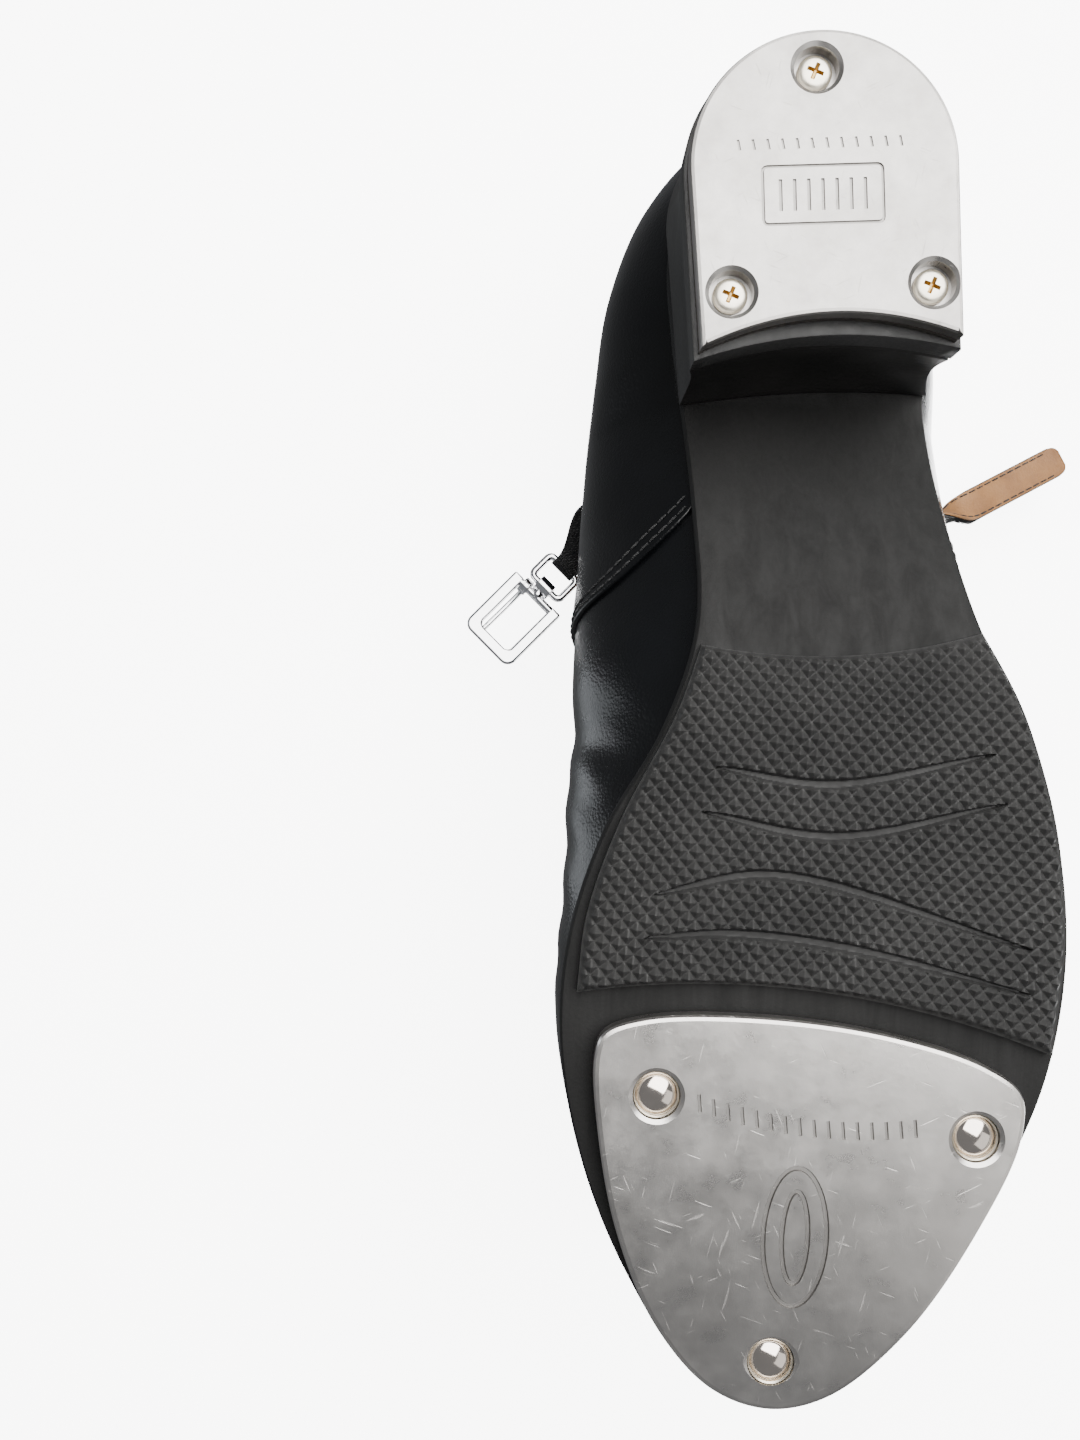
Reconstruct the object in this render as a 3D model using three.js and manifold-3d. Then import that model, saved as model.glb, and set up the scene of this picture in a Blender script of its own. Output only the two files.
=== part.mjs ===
// Tap shoe, right foot, with a strap and buckle. Millimetres, +Z up, +Y towards the toe,
// +X towards the outer (lateral) side. The origin is the centre of the heel tap's face,
// which stands on the floor.
import * as THREE from 'three';
import { mergeVertices } from 'three/addons/utils/BufferGeometryUtils.js';
import Module from 'manifold-3d';

const wasm = await Module();
wasm.setup();

// ---------- driving dimensions ----------
const GAP = 0.3; // air left between two pieces that touch
const FOOT_GAP = 0.8; // and between the curved sole and the upper's turned-in margin
const TAP_THICKNESS = 3.0;
const BOARD_THICKNESS = 1.0; // fibre board between a tap and the shoe
const LIFT_THICKNESS = 5.4; // rubber top lift of the heel
const OUTSOLE_THICKNESS = 3.5;
const TREAD_CLEARANCE = 1.2; // height of the tread's face above the floor
const LEATHER = 1.4;
const STIFFENER = 1.0; // heel counter and toe puff
const LINING = 1.0;
const LAYER_GAP = 0.6; // between the curved layers of the upper
const INSOLE_THICKNESS = 2.0;
const SOCK_THICKNESS = 2.0;
const LAST_MARGIN = 10.0; // how far the upper is turned in under the insole
const FEATHER_INSET = 1.2; // upper's foot stands this far inside the outsole's edge
const INSOLE_INSET = 6.2;
const SOCK_INSET = 7.8;

const HEEL_TURN = THREE.MathUtils.degToRad(-5.0); // the heel's own axis toes out
const SEAT_BACK_Y = -34; // back of the heel seat
const BREAST_Y = 27; // front face of the heel
const SEAT_BACK_Z = 37.5; // underside of the outsole at the back of the heel seat
const SEAT_FRONT_Z = 31.5; // and at the heel breast
const BALL_START_Y = 92; // the sole lies flat from here forward
const SPRING_START_Y = 165; // and lifts again from here to the toe
const TOE_Y = 211;
const TOE_SPRING = 3.6;

const SCREW_HEAD_R = 3.0;
const SCREW_SHANK_R = 1.5;
const SCREW_LENGTH = 17.0;
const SCREW_RECESS = 1.2; // the screw head sits this deep in the tap
const RIVET_HEAD_R = 3.6;
const RIVET_SHANK_R = 1.6;

const STRAP_WIDTH = 7.5;
const STRAP_LENGTH = 54;
const STRAP_LEATHER = 1.1;
const STRAP_LINING = 0.8;
const TWIST_START = 6;
const TWIST_END = 27;
const WIRE_R = 0.85;

const V = (x, y, z) => new THREE.Vector3(x, y, z);
const smooth = (a, b, x) => THREE.MathUtils.smoothstep(x, a, b);
const mix = THREE.MathUtils.lerp;

// ---------- materials ----------
const paint = (color, roughness, metalness) =>
  new THREE.MeshStandardMaterial({ color, roughness, metalness });
const MATERIALS = {
  tap: () => paint(0xc9cbcd, 0.35, 1.0),
  screw: () => paint(0xd8d2c0, 0.3, 1.0),
  rivet: () => paint(0xe6e4e2, 0.08, 1.0),
  board: () => paint(0x3a3330, 0.9, 0.0),
  rubber: () => paint(0x333435, 0.75, 0.0),
  tread: () => paint(0x3c3e3f, 0.7, 0.0),
  heel: () => paint(0x1d1d1e, 0.45, 0.0),
  leather: () => paint(0x0b0c0e, 0.2, 0.0),
  lining: () => paint(0xb28c69, 0.75, 0.0),
  stiffener: () => paint(0xcfc6b4, 0.9, 0.0),
  fibre: () => paint(0xa08868, 0.9, 0.0),
  steel: () => paint(0x8c8f93, 0.4, 1.0),
  cork: () => paint(0x9b7b55, 0.95, 0.0),
  elastic: () => paint(0x151515, 0.95, 0.0),
  chrome: () => paint(0xe8e8ea, 0.06, 1.0),
};

const shoe = new THREE.Group();
shoe.name = 'tap_shoe';

function add(name, geometry, material, parent = shoe) {
  const mesh = new THREE.Mesh(geometry, MATERIALS[material]());
  mesh.name = name;
  parent.add(mesh);
  return mesh;
}

// ---------- mesh helpers ----------
function geometryFrom(points, faces) {
  const geometry = new THREE.BufferGeometry();
  const flat = points.flatMap((p) => [p.x, p.y, p.z]);
  geometry.setAttribute('position', new THREE.Float32BufferAttribute(flat, 3));
  geometry.setIndex(faces.flat());
  return geometry;
}

// Joins points that coincide, so that a surface that closes on itself is sewn shut.
function weld(points, faces) {
  const places = new Map();
  const unique = [];
  const index = points.map((p) => {
    const key = [p.x, p.y, p.z].map((c) => Math.round(c * 500)).join();
    if (!places.has(key)) {
      places.set(key, unique.length);
      unique.push(p);
    }
    return places.get(key);
  });
  const kept = faces
    .map((f) => f.map((i) => index[i]))
    .filter(([a, b, c]) => a !== b && b !== c && c !== a);
  return [unique, kept];
}

// Makes a closed solid from an open surface: upper and lower turn a point and its normal
// into the points of the two skins, and a wall joins them along every free edge.
function thicken(surface, upper, lower) {
  const [points, faces] = weld(...surface);
  const normals = points.map(() => V(0, 0, 0));
  const edges = new Set();
  for (const [a, b, c] of faces) {
    const side = points[b].clone().sub(points[a]);
    const normal = side.cross(points[c].clone().sub(points[a]));
    for (const i of [a, b, c]) normals[i].add(normal);
    for (const edge of [[a, b], [b, c], [c, a]]) edges.add(edge.join());
  }
  normals.forEach((n) => n.normalize());
  const count = points.length;
  const skins = [
    ...points.map((p, i) => upper(p, normals[i])),
    ...points.map((p, i) => lower(p, normals[i])),
  ];
  const all = [...faces, ...faces.map(([a, b, c]) => [c + count, b + count, a + count])];
  for (const edge of edges) {
    const [a, b] = edge.split(',').map(Number);
    if (edges.has(`${b},${a}`)) continue;
    all.push([b, a, a + count]);
    all.push([b, a + count, b + count]);
  }
  return geometryFrom(skins, all);
}

// A grid of columns i and rows j, as points and outward faces.
function gridSurface(columns, rows, at) {
  const points = [];
  const faces = [];
  for (let i = 0; i <= columns; i += 1) {
    for (let j = 0; j <= rows; j += 1) points.push(at(i, j));
  }
  for (let i = 0; i < columns; i += 1) {
    for (let j = 0; j < rows; j += 1) {
      const a = i * (rows + 1) + j;
      const b = a + rows + 1;
      faces.push([a, a + 1, b + 1]);
      faces.push([a, b + 1, b]);
    }
  }
  return [points, faces];
}

// Joins rings of equal length into a closed solid, with a fan over each end.
function loftRings(rings) {
  const size = rings[0].length;
  const points = rings.flat();
  const faces = [];
  for (let r = 0; r + 1 < rings.length; r += 1) {
    for (let i = 0; i < size; i += 1) {
      const a = r * size + i;
      const b = r * size + ((i + 1) % size);
      faces.push([a, b, b + size]);
      faces.push([a, b + size, a + size]);
    }
  }
  const fan = (ring, start, flip) => {
    const centre = ring.reduce((sum, p) => sum.add(p), V(0, 0, 0)).divideScalar(size);
    const hub = points.push(centre) - 1;
    for (let i = 0; i < size; i += 1) {
      const a = start + i;
      const b = start + ((i + 1) % size);
      faces.push(flip ? [b, a, hub] : [a, b, hub]);
    }
  };
  fan(rings[0], 0, true);
  fan(rings[rings.length - 1], (rings.length - 1) * size, false);
  return geometryFrom(points, faces);
}

function toSolid(geometry) {
  const bare = geometry.clone();
  bare.deleteAttribute('normal');
  bare.deleteAttribute('uv');
  const merged = mergeVertices(bare, 1e-4);
  return new wasm.Manifold(new wasm.Mesh({
    numProp: 3,
    vertProperties: new Float32Array(merged.attributes.position.array),
    triVerts: new Uint32Array(merged.index.array),
  }));
}

function fromSolid(solid) {
  const mesh = solid.getMesh();
  const geometry = new THREE.BufferGeometry();
  geometry.setAttribute('position', new THREE.BufferAttribute(mesh.vertProperties, 3));
  geometry.setIndex(new THREE.BufferAttribute(mesh.triVerts, 1));
  return geometry;
}

function cut(geometry, ...tools) {
  let solid = toSolid(geometry);
  for (const tool of tools) solid = solid.subtract(toSolid(tool));
  return fromSolid(solid);
}

function join(geometry, ...others) {
  let solid = toSolid(geometry);
  for (const other of others) solid = solid.add(toSolid(other));
  return fromSolid(solid);
}

// A turned piece standing on Z: profile is a list of [radius, height] from axis to axis.
function turned(profile, x, y, segments = 12) {
  const outline = profile.map(([r, z]) => new THREE.Vector2(r, z));
  const geometry = new THREE.LatheGeometry(outline, segments);
  geometry.rotateX(Math.PI / 2);
  return geometry.translate(x, y, 0);
}

const drill = (x, y, radius, z0, z1) =>
  turned([[0, z0], [radius, z0], [radius, z1], [0, z1]], x, y);

// ---------- the last: stations from the heel back to the toe tip ----------
// Each row: medial edge x, y, lateral edge x, y of the outsole, seen from above, and how
// far the upper bulges over that edge on the medial and on the lateral side.
const STATIONS = [
  [0.5, -34, 0.5, -34, 7, 7],
  [-13, -30, 13, -30, 9, 8],
  [-21, -18, 21.5, -19, 12, 9],
  [-24, -2, 26.5, -4, 15, 10],
  [-22.8, 14, 28.3, 12, 17, 10],
  [-20.5, 30, 27.4, 30, 19, 10],
  [-18.9, 52, 28.4, 52, 20, 10],
  [-18.9, 74, 32, 73, 19, 9],
  [-24.8, 93, 39.5, 90, 13, 8],
  [-34.2, 111, 45.2, 109, 8, 6],
  [-39.6, 130, 47.4, 130, 6, 5],
  [-40.2, 148, 44.6, 151, 5, 4],
  [-35.8, 168, 36.6, 171, 4.5, 4],
  [-27.6, 187, 26.2, 190, 4, 4],
  [-16.6, 203, 13.2, 206, 3.5, 3.5],
  [-2, TOE_Y, -2, TOE_Y, 3, 3],
];
// Top edge of the upper: medial x, lateral x, y, z, from the heel back to the throat.
const TOPLINE = [
  [0.5, 0.5, -33, 88],
  [-13, 14, -29, 86],
  [-23.5, 25, -17, 82],
  [-29.5, 31, 0, 77.5],
  [-32.2, 33.5, 18, 73],
  [-33.8, 34.5, 36, 69],
  [-34.8, 35.5, 53, 65.5],
  [-35.4, 36.5, 70, 61],
  [-34, 36.5, 87, 56.5],
  [-26, 30, 104, 52],
  [0.5, 0.5, 118, 49],
];
const THROAT = TOPLINE.length - 1;
const TOE = STATIONS.length - 1;
const LOOP = TOE * 2;
// Ridge of the vamp, from the throat to above the toe.
const RIDGE = new THREE.CatmullRomCurve3(
  [V(0.5, 118, 49), V(1, 137, 43), V(0.5, 154, 37.5), V(0, 168, 33.5), V(-1, 178, 31)],
);

const bothSides = (rows, medial, lateral) =>
  [...rows.map(medial), ...rows.slice(1, -1).reverse().map(lateral)];
const closedCurve = (points) => new THREE.CatmullRomCurve3(points, true);

const EDGE = closedCurve(bothSides(STATIONS, (s) => V(s[0], s[1], s[4]), (s) => V(s[2], s[3], s[5])));
const TOP_EDGE = closedCurve(bothSides(TOPLINE, (s) => V(s[0], s[2], s[3]), (s) => V(s[1], s[2], s[3])));

// k counts stations round the shoe: 0 heel back, TOE toe tip, LOOP heel back again.
function edgeAt(k, inset) {
  const u = THREE.MathUtils.euclideanModulo(k / LOOP, 1);
  const p = EDGE.getPoint(u);
  const tangent = EDGE.getTangent(u).setZ(0).normalize();
  const outward = V(-tangent.y, tangent.x, 0);
  const bulge = p.z;
  return { at: p.clone().setZ(0).addScaledVector(outward, -inset), outward, bulge };
}

// Underside of the outsole along the shoe.
function soleUnder(y) {
  const flat = TAP_THICKNESS + BOARD_THICKNESS + 2 * GAP;
  const seatSlope = (SEAT_FRONT_Z - SEAT_BACK_Z) / (BREAST_Y - SEAT_BACK_Y);
  if (y <= BREAST_Y) return SEAT_BACK_Z + seatSlope * (y - SEAT_BACK_Y);
  if (y < BALL_START_Y) {
    const run = BALL_START_Y - BREAST_Y;
    const t = (y - BREAST_Y) / run;
    const leaving = SEAT_FRONT_Z * (2 * t ** 3 - 3 * t ** 2 + 1);
    const slope = (seatSlope - 0.3) * run * (t ** 3 - 2 * t ** 2 + t);
    return leaving + slope + flat * (3 * t ** 2 - 2 * t ** 3);
  }
  return flat + toeSpring(y);
}

function toeSpring(y) {
  const t = Math.max(0, (y - SPRING_START_Y) / (TOE_Y - SPRING_START_Y));
  return TOE_SPRING * t * t;
}

const soleTop = (y) => soleUnder(y) + OUTSOLE_THICKNESS;
const insoleBottom = (y) => soleTop(y) + LEATHER + 2 * FOOT_GAP;
const sockBottom = (y) => insoleBottom(y) + INSOLE_THICKNESS + GAP;

// ---------- plates that follow the sole ----------
// medial(s) and lateral(s) are edge points, s from 0 to 1; bow bends each row along Y.
function plate({ medial, lateral, rows, across, bottom, top, bow = () => 0 }) {
  const surface = gridSurface(rows, across, (i, j) => {
    const s = i / rows;
    const w = j / across;
    const p = medial(s).lerp(lateral(s), w);
    p.y += bow(s) * 4 * w * (1 - w);
    return p.setZ(0);
  });
  return thicken(
    surface,
    (p) => V(p.x, p.y, top(p.y)),
    (p) => V(p.x, p.y, bottom(p.y)),
  );
}

const solePlate = (from, to, inset, rows, across, bottom, top) => plate({
  medial: (s) => edgeAt(mix(from, to, s), inset).at,
  lateral: (s) => edgeAt(LOOP - mix(from, to, s), inset).at,
  rows,
  across,
  bottom,
  top,
});

// ---------- heel ----------
// D-shaped outline of the heel: nearly straight sides, a half round back and a hollowed
// front edge whose ends are the corners at front.
function heelOutline({ width, frontWidth, front, back, centreX, hollow }) {
  const radius = width / 2;
  const roundStart = back + radius;
  const ring = [];
  const sideSteps = 3;
  const roundSteps = 24;
  const frontSteps = 8;
  for (let i = 0; i < sideSteps; i += 1) {
    const t = i / sideSteps;
    const half = mix(frontWidth / 2, radius, Math.sin(t * Math.PI / 2));
    ring.push(V(centreX + half, mix(front, roundStart, t), 0));
  }
  for (let i = 0; i <= roundSteps; i += 1) {
    const angle = Math.PI * i / roundSteps;
    ring.push(V(centreX + radius * Math.cos(angle), roundStart - radius * Math.sin(angle), 0));
  }
  for (let i = sideSteps - 1; i >= 0; i -= 1) {
    const t = i / sideSteps;
    const half = mix(frontWidth / 2, radius, Math.sin(t * Math.PI / 2));
    ring.push(V(centreX - half, mix(front, roundStart, t), 0));
  }
  for (let i = 1; i < frontSteps; i += 1) {
    const w = i / frontSteps;
    const x = centreX + frontWidth * (w - 0.5);
    ring.push(V(x, front - hollow * 4 * w * (1 - w), 0));
  }
  return ring.reverse().map((p) => p.applyAxisAngle(V(0, 0, 1), HEEL_TURN));
}

const atHeight = (ring, z) => ring.map((p) => V(p.x, p.y, typeof z === 'function' ? z(p.y) : z));
const TAP_RING = heelOutline({
  width: 45.8, frontWidth: 44.6, front: 25.6, back: -27.4, centreX: -1.2, hollow: 4.8,
});
const LIFT_RING = heelOutline({
  width: 47.4, frontWidth: 46.6, front: 26.6, back: -28.4, centreX: -1.0, hollow: 3.4,
});
const SEAT_RING = heelOutline({
  width: 50.4, frontWidth: 49.4, front: 27.2, back: -33.4, centreX: 1.0, hollow: 1.6,
});
const HEEL_SCREWS = {
  back: V(-1.8, -20.8, 0),
  medial: V(-18.0, 16.6, 0),
  lateral: V(16.4, 16.6, 0),
};
for (const place of Object.values(HEEL_SCREWS)) place.applyAxisAngle(V(0, 0, 1), HEEL_TURN);

const boardTop = TAP_THICKNESS + GAP + BOARD_THICKNESS;
const liftTop = boardTop + GAP + LIFT_THICKNESS;
const HEEL_BORE = V(0.5, -6, 0);
const heelDrills = (radius, z0, z1) =>
  Object.values(HEEL_SCREWS).map((p) => drill(p.x, p.y, radius, z0, z1));

function heel() {
  const screwTop = SCREW_RECESS + SCREW_LENGTH + GAP;
  const clearance = SCREW_SHANK_R + GAP;
  const tap = loftRings([
    atHeight(TAP_RING, 0).map((p) => p.multiplyScalar(0.985)),
    atHeight(TAP_RING, 0.6),
    atHeight(TAP_RING, TAP_THICKNESS),
  ]);
  add('heel_tap', cut(
    tap,
    ...heelDrills(clearance, -1, TAP_THICKNESS + 1),
    ...heelDrills(SCREW_HEAD_R + 0.9, -1, TAP_THICKNESS - 0.4),
  ), 'tap');
  const board = loftRings([
    atHeight(TAP_RING, TAP_THICKNESS + GAP),
    atHeight(TAP_RING, boardTop),
  ]);
  add('heel_tap_board', cut(board, ...heelDrills(clearance, 0, liftTop)), 'board');
  const lift = loftRings([
    atHeight(LIFT_RING, boardTop + GAP),
    atHeight(LIFT_RING, liftTop),
  ]);
  add('heel_top_lift', cut(lift, ...heelDrills(clearance, 0, liftTop + 1)), 'rubber');
  const waist = LIFT_RING.map((p, i) => p.clone().lerp(SEAT_RING[i], 0.35).multiplyScalar(0.985));
  const block = loftRings([
    atHeight(LIFT_RING, liftTop + GAP),
    atHeight(waist, 20),
    atHeight(SEAT_RING, (y) => soleUnder(y) - 2 * GAP),
  ]);
  add('heel_block', cut(
    block,
    ...heelDrills(clearance, 0, screwTop),
    drill(HEEL_BORE.x, HEEL_BORE.y, 2.3, 14, SEAT_BACK_Z + 5),
  ), 'heel');
  for (const [side, p] of Object.entries(HEEL_SCREWS)) {
    add(`heel_tap_screw_${side}`, turned([
      [0, SCREW_RECESS],
      [SCREW_HEAD_R - 0.8, SCREW_RECESS],
      [SCREW_HEAD_R, SCREW_RECESS + 0.5],
      [SCREW_HEAD_R, TAP_THICKNESS - 0.4 - GAP],
      [SCREW_SHANK_R, TAP_THICKNESS - 0.4 - GAP],
      [SCREW_SHANK_R, SCREW_LENGTH - 2],
      [0, SCREW_RECESS + SCREW_LENGTH],
    ], p.x, p.y), 'screw');
  }
  const seat = soleTop(HEEL_BORE.y);
  const head = insoleBottom(HEEL_BORE.y) + INSOLE_THICKNESS - 0.6;
  add('heel_fixing_screw', turned([
    [0, 15],
    [2, 18],
    [2, seat + GAP],
    [4.6, seat + 2.6],
    [4.6, head],
    [0, head],
  ], HEEL_BORE.x, HEEL_BORE.y), 'steel');
}

// ---------- forefoot taps and soles ----------
const TOE_TAP_CURVE = closedCurve([
  V(-34.4, 149, 0),
  V(-33.4, 161, 0),
  V(-29.6, 178, 0),
  V(-22.2, 194.5, 0),
  V(-11.8, 206, 0),
  V(-1.5, 209.4, 0),
  V(8.6, 206.5, 0),
  V(21, 194.3, 0),
  V(32.4, 175, 0),
  V(38.6, 160, 0),
  V(38.4, 152.2, 0),
  V(32, 147.6, 0),
  V(15, 142.9, 0),
  V(-7, 140.8, 0),
  V(-26, 141.8, 0),
  V(-33, 144.6, 0),
]);
const TOE_RIVETS = {
  medial: V(-23.6, 154.8, 0),
  lateral: V(30.9, 159.9, 0),
  tip: V(-1.9, 200.5, 0),
};

// A plate inside a closed outline, split in rows so that it can follow the toe spring.
function tapPlate(inset, bottom, top) {
  const count = 36;
  const ring = TOE_TAP_CURVE.getPoints(count).slice(0, count);
  const centre = V(1, 172, 0);
  const shells = [1, 0.55];
  const surface = gridSurface(count, shells.length, (i, j) => {
    const p = ring[i % count];
    const reach = p.distanceTo(centre);
    const share = j === shells.length ? 0 : shells[j] * (1 - inset / reach);
    return centre.clone().lerp(p, share);
  });
  return thicken(
    surface,
    (p) => V(p.x, p.y, top(p.y)),
    (p) => V(p.x, p.y, bottom(p.y)),
  );
}

const toeDrills = (radius, z0, z1) =>
  Object.values(TOE_RIVETS).map((p) => drill(p.x, p.y, radius, z0, z1));

function forefoot() {
  const rivetTop = 15;
  const tapTop = (y) => TAP_THICKNESS + toeSpring(y);
  const clearance = RIVET_SHANK_R + GAP;
  add('toe_tap', cut(
    tapPlate(0, toeSpring, tapTop),
    ...toeDrills(clearance, -5, rivetTop),
    ...Object.values(TOE_RIVETS).map((p) => {
      const sink = toeSpring(p.y) + 1.7;
      return drill(p.x, p.y, RIVET_HEAD_R + 0.6, -5, sink);
    }),
  ), 'tap');
  add('toe_tap_board', cut(
    tapPlate(0.6, (y) => tapTop(y) + GAP, (y) => tapTop(y) + GAP + BOARD_THICKNESS),
    ...toeDrills(clearance, -5, rivetTop),
  ), 'board');
  for (const [side, p] of Object.entries(TOE_RIVETS)) {
    const base = toeSpring(p.y);
    const head = base + 1.7 - GAP;
    const end = soleTop(p.y) - GAP;
    add(`toe_tap_rivet_${side}`, turned([
      [0, base + 0.15],
      [1.6, base + 0.3],
      [3.0, base + 0.8],
      [RIVET_HEAD_R, head],
      [RIVET_SHANK_R, head],
      [RIVET_SHANK_R, end],
      [0, end],
    ], p.x, p.y), 'rivet');
  }
  const sole = solePlate(0, TOE, 0, 38, 3, soleUnder, soleTop);
  add('outsole', cut(
    sole,
    ...toeDrills(clearance, 0, rivetTop),
    drill(HEEL_BORE.x, HEEL_BORE.y, 2.3, 20, SEAT_BACK_Z + 10),
  ), 'rubber');
  const medialEdge = new THREE.CatmullRomCurve3([
    V(-18.4, 77.6, 0), V(-22.6, 90, 0), V(-31.6, 109, 0), V(-36.6, 125, 0), V(-37.8, 138.4, 0),
  ]);
  const lateralEdge = new THREE.CatmullRomCurve3([
    V(31, 73.6, 0), V(37.6, 88, 0), V(43.6, 107, 0), V(45.8, 126, 0), V(44.4, 146, 0),
  ]);
  add('tread_pad', plate({
    medial: (s) => medialEdge.getPoint(s),
    lateral: (s) => lateralEdge.getPoint(s),
    rows: 12,
    across: 6,
    bow: (s) => mix(3, -5.6, s),
    bottom: (y) => TREAD_CLEARANCE + soleUnder(y) - soleUnder(BALL_START_Y),
    top: (y) => soleUnder(y) - GAP,
  }), 'tread');
}

function insoles() {
  const insoleTop = (y) => insoleBottom(y) + INSOLE_THICKNESS;
  add('insole_board', cut(
    solePlate(0.25, TOE - 0.2, INSOLE_INSET, 30, 2, insoleBottom, insoleTop),
    drill(HEEL_BORE.x, HEEL_BORE.y, 4.6 + GAP, 30, 60),
  ), 'fibre');
  add('sock_lining', solePlate(
    0.3, TOE - 0.25, SOCK_INSET, 30, 2,
    sockBottom, (y) => sockBottom(y) + SOCK_THICKNESS,
  ), 'lining');
  const fillBottom = (y) => soleTop(y) + GAP;
  const fillTop = (y) => soleTop(y) + GAP + LEATHER - 0.1;
  add('forepart_filler', solePlate(
    8.2, TOE - 0.6, LAST_MARGIN + 2.2, 16, 3, fillBottom, fillTop,
  ), 'cork');
  const shankHalf = 5;
  const shankEdge = (side) => (s) => V(mix(2, 6, s) + side * shankHalf, mix(4, 84, s), 0);
  add('shank_spring', plate({
    medial: shankEdge(-1),
    lateral: shankEdge(1),
    rows: 16,
    across: 1,
    bottom: fillBottom,
    top: fillTop,
  }), 'steel');
}

// ---------- upper ----------
function topAt(k) {
  const side = k <= TOE ? k : LOOP - k;
  if (side >= THROAT) return RIDGE.getPoint((side - THROAT) / (TOE - THROAT));
  const u = side / (2 * THROAT);
  return TOP_EDGE.getPoint(k <= TOE ? u : THREE.MathUtils.euclideanModulo(1 - u, 1));
}

// Point of the upper's outer face: k round the shoe, v from the sole (0) to the top (1).
function upperAt(k, v) {
  const turn = THREE.MathUtils.euclideanModulo(k, LOOP);
  const { at, outward, bulge } = edgeAt(turn, FEATHER_INSET);
  const foot = at.setZ(soleTop(at.y) + FOOT_GAP);
  const top = topAt(turn);
  const side = turn <= TOE ? turn : LOOP - turn;
  const rise = top.z - foot.z;
  const wall = 1 - smooth(6.5, 9.6, side);
  const lower = foot.clone().addScaledVector(outward, bulge);
  lower.z += rise * mix(0.5, 0.34, wall);
  const reach = foot.clone().sub(top).setZ(0);
  const upper = top.clone().addScaledVector(reach, mix(0.56, 0.0, wall));
  upper.addScaledVector(outward, wall * bulge * 0.36);
  upper.z -= wall * rise * 0.34;
  return new THREE.CubicBezierCurve3(foot, lower, upper, top).getPoint(v);
}

// Under the foot of the upper the leather is turned in between outsole and insole.
function marginAt(k) {
  const { at } = edgeAt(k, LAST_MARGIN);
  return at.setZ(soleTop(at.y) + FOOT_GAP);
}

const SEAM_FOOT = 6.05; // where the seam of vamp and quarter meets the sole
const SEAM_TOP = 7.2; // and the top edge
const seamAt = (v) => mix(SEAM_FOOT, SEAM_TOP, Math.max(0, v) ** 0.8);

// Piece of the upper between depth a and depth b under its outer face. stops(v) lists the
// station values that its columns pass through, with counts the columns between them.
function upperPiece(stops, counts, v0, v1, rows, a, b, margin = false) {
  const extra = margin ? 1 : 0;
  const total = counts.reduce((sum, n) => sum + n, 0);
  const stationAt = (column, v) => {
    let left = column;
    let part = 0;
    while (part < counts.length - 1 && left > counts[part]) {
      left -= counts[part];
      part += 1;
    }
    const bounds = stops(v);
    return mix(bounds[part], bounds[part + 1], left / counts[part]);
  };
  const surface = gridSurface(total, rows + extra, (i, j) => {
    if (margin && j === 0) return marginAt(stationAt(i, 0));
    const v = mix(v0, v1, (j - extra) / rows);
    return upperAt(stationAt(i, v), v);
  });
  return thicken(
    surface,
    (p, n) => p.clone().addScaledVector(n, -a),
    (p, n) => p.clone().addScaledVector(n, -b),
  );
}

function upper() {
  const half = 0.03; // half the open seam, in stations
  const vampStops = (v) => [
    seamAt(v) + half, THROAT, TOE, LOOP - THROAT, LOOP - seamAt(v) - half,
  ];
  add('vamp', upperPiece(vampStops, [9, 8, 8, 9], 0, 1, 7, 0, LEATHER, true), 'leather');
  const backGap = 0.05;
  add('quarter_medial', upperPiece(
    (v) => [backGap, seamAt(v)], [18], 0, 1, 6, 0, LEATHER, true,
  ), 'leather');
  add('quarter_lateral', upperPiece(
    (v) => [LOOP - seamAt(v), LOOP - backGap], [18], 0, 1, 6, 0, LEATHER, true,
  ), 'leather');
  add('backstay', upperPiece(
    () => [LOOP - 0.42, LOOP + 0.42], [4], 0.04, 0.97, 8, -GAP - 1.0, -GAP,
  ), 'leather');
  const shellIn = LEATHER + LAYER_GAP;
  add('heel_counter', upperPiece(
    () => [LOOP - 4.4, LOOP + 4.4], [20], 0.1, 0.72, 4, shellIn, shellIn + STIFFENER,
  ), 'stiffener');
  add('toe_puff', upperPiece(
    () => [TOE - 2.6, TOE + 2.6], [14], 0.1, 0.8, 4, shellIn, shellIn + STIFFENER,
  ), 'stiffener');
  const liningIn = shellIn + STIFFENER + LAYER_GAP;
  const liningHalf = 0.1;
  const liningStops = (v) => [
    seamAt(v) + liningHalf, THROAT, TOE, LOOP - THROAT, LOOP - seamAt(v) - liningHalf,
  ];
  add('vamp_lining', upperPiece(
    liningStops, [9, 8, 8, 9], 0.22, 0.92, 5, liningIn, liningIn + LINING,
  ), 'lining');
  add('quarter_lining', upperPiece(
    (v) => [LOOP - seamAt(v) + liningHalf, LOOP, LOOP + seamAt(v) - liningHalf], [16, 16],
    0.16, 0.97, 5,
    liningIn, liningIn + LINING,
  ), 'lining');
  toplineBinding(liningIn + LINING);
}

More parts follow.
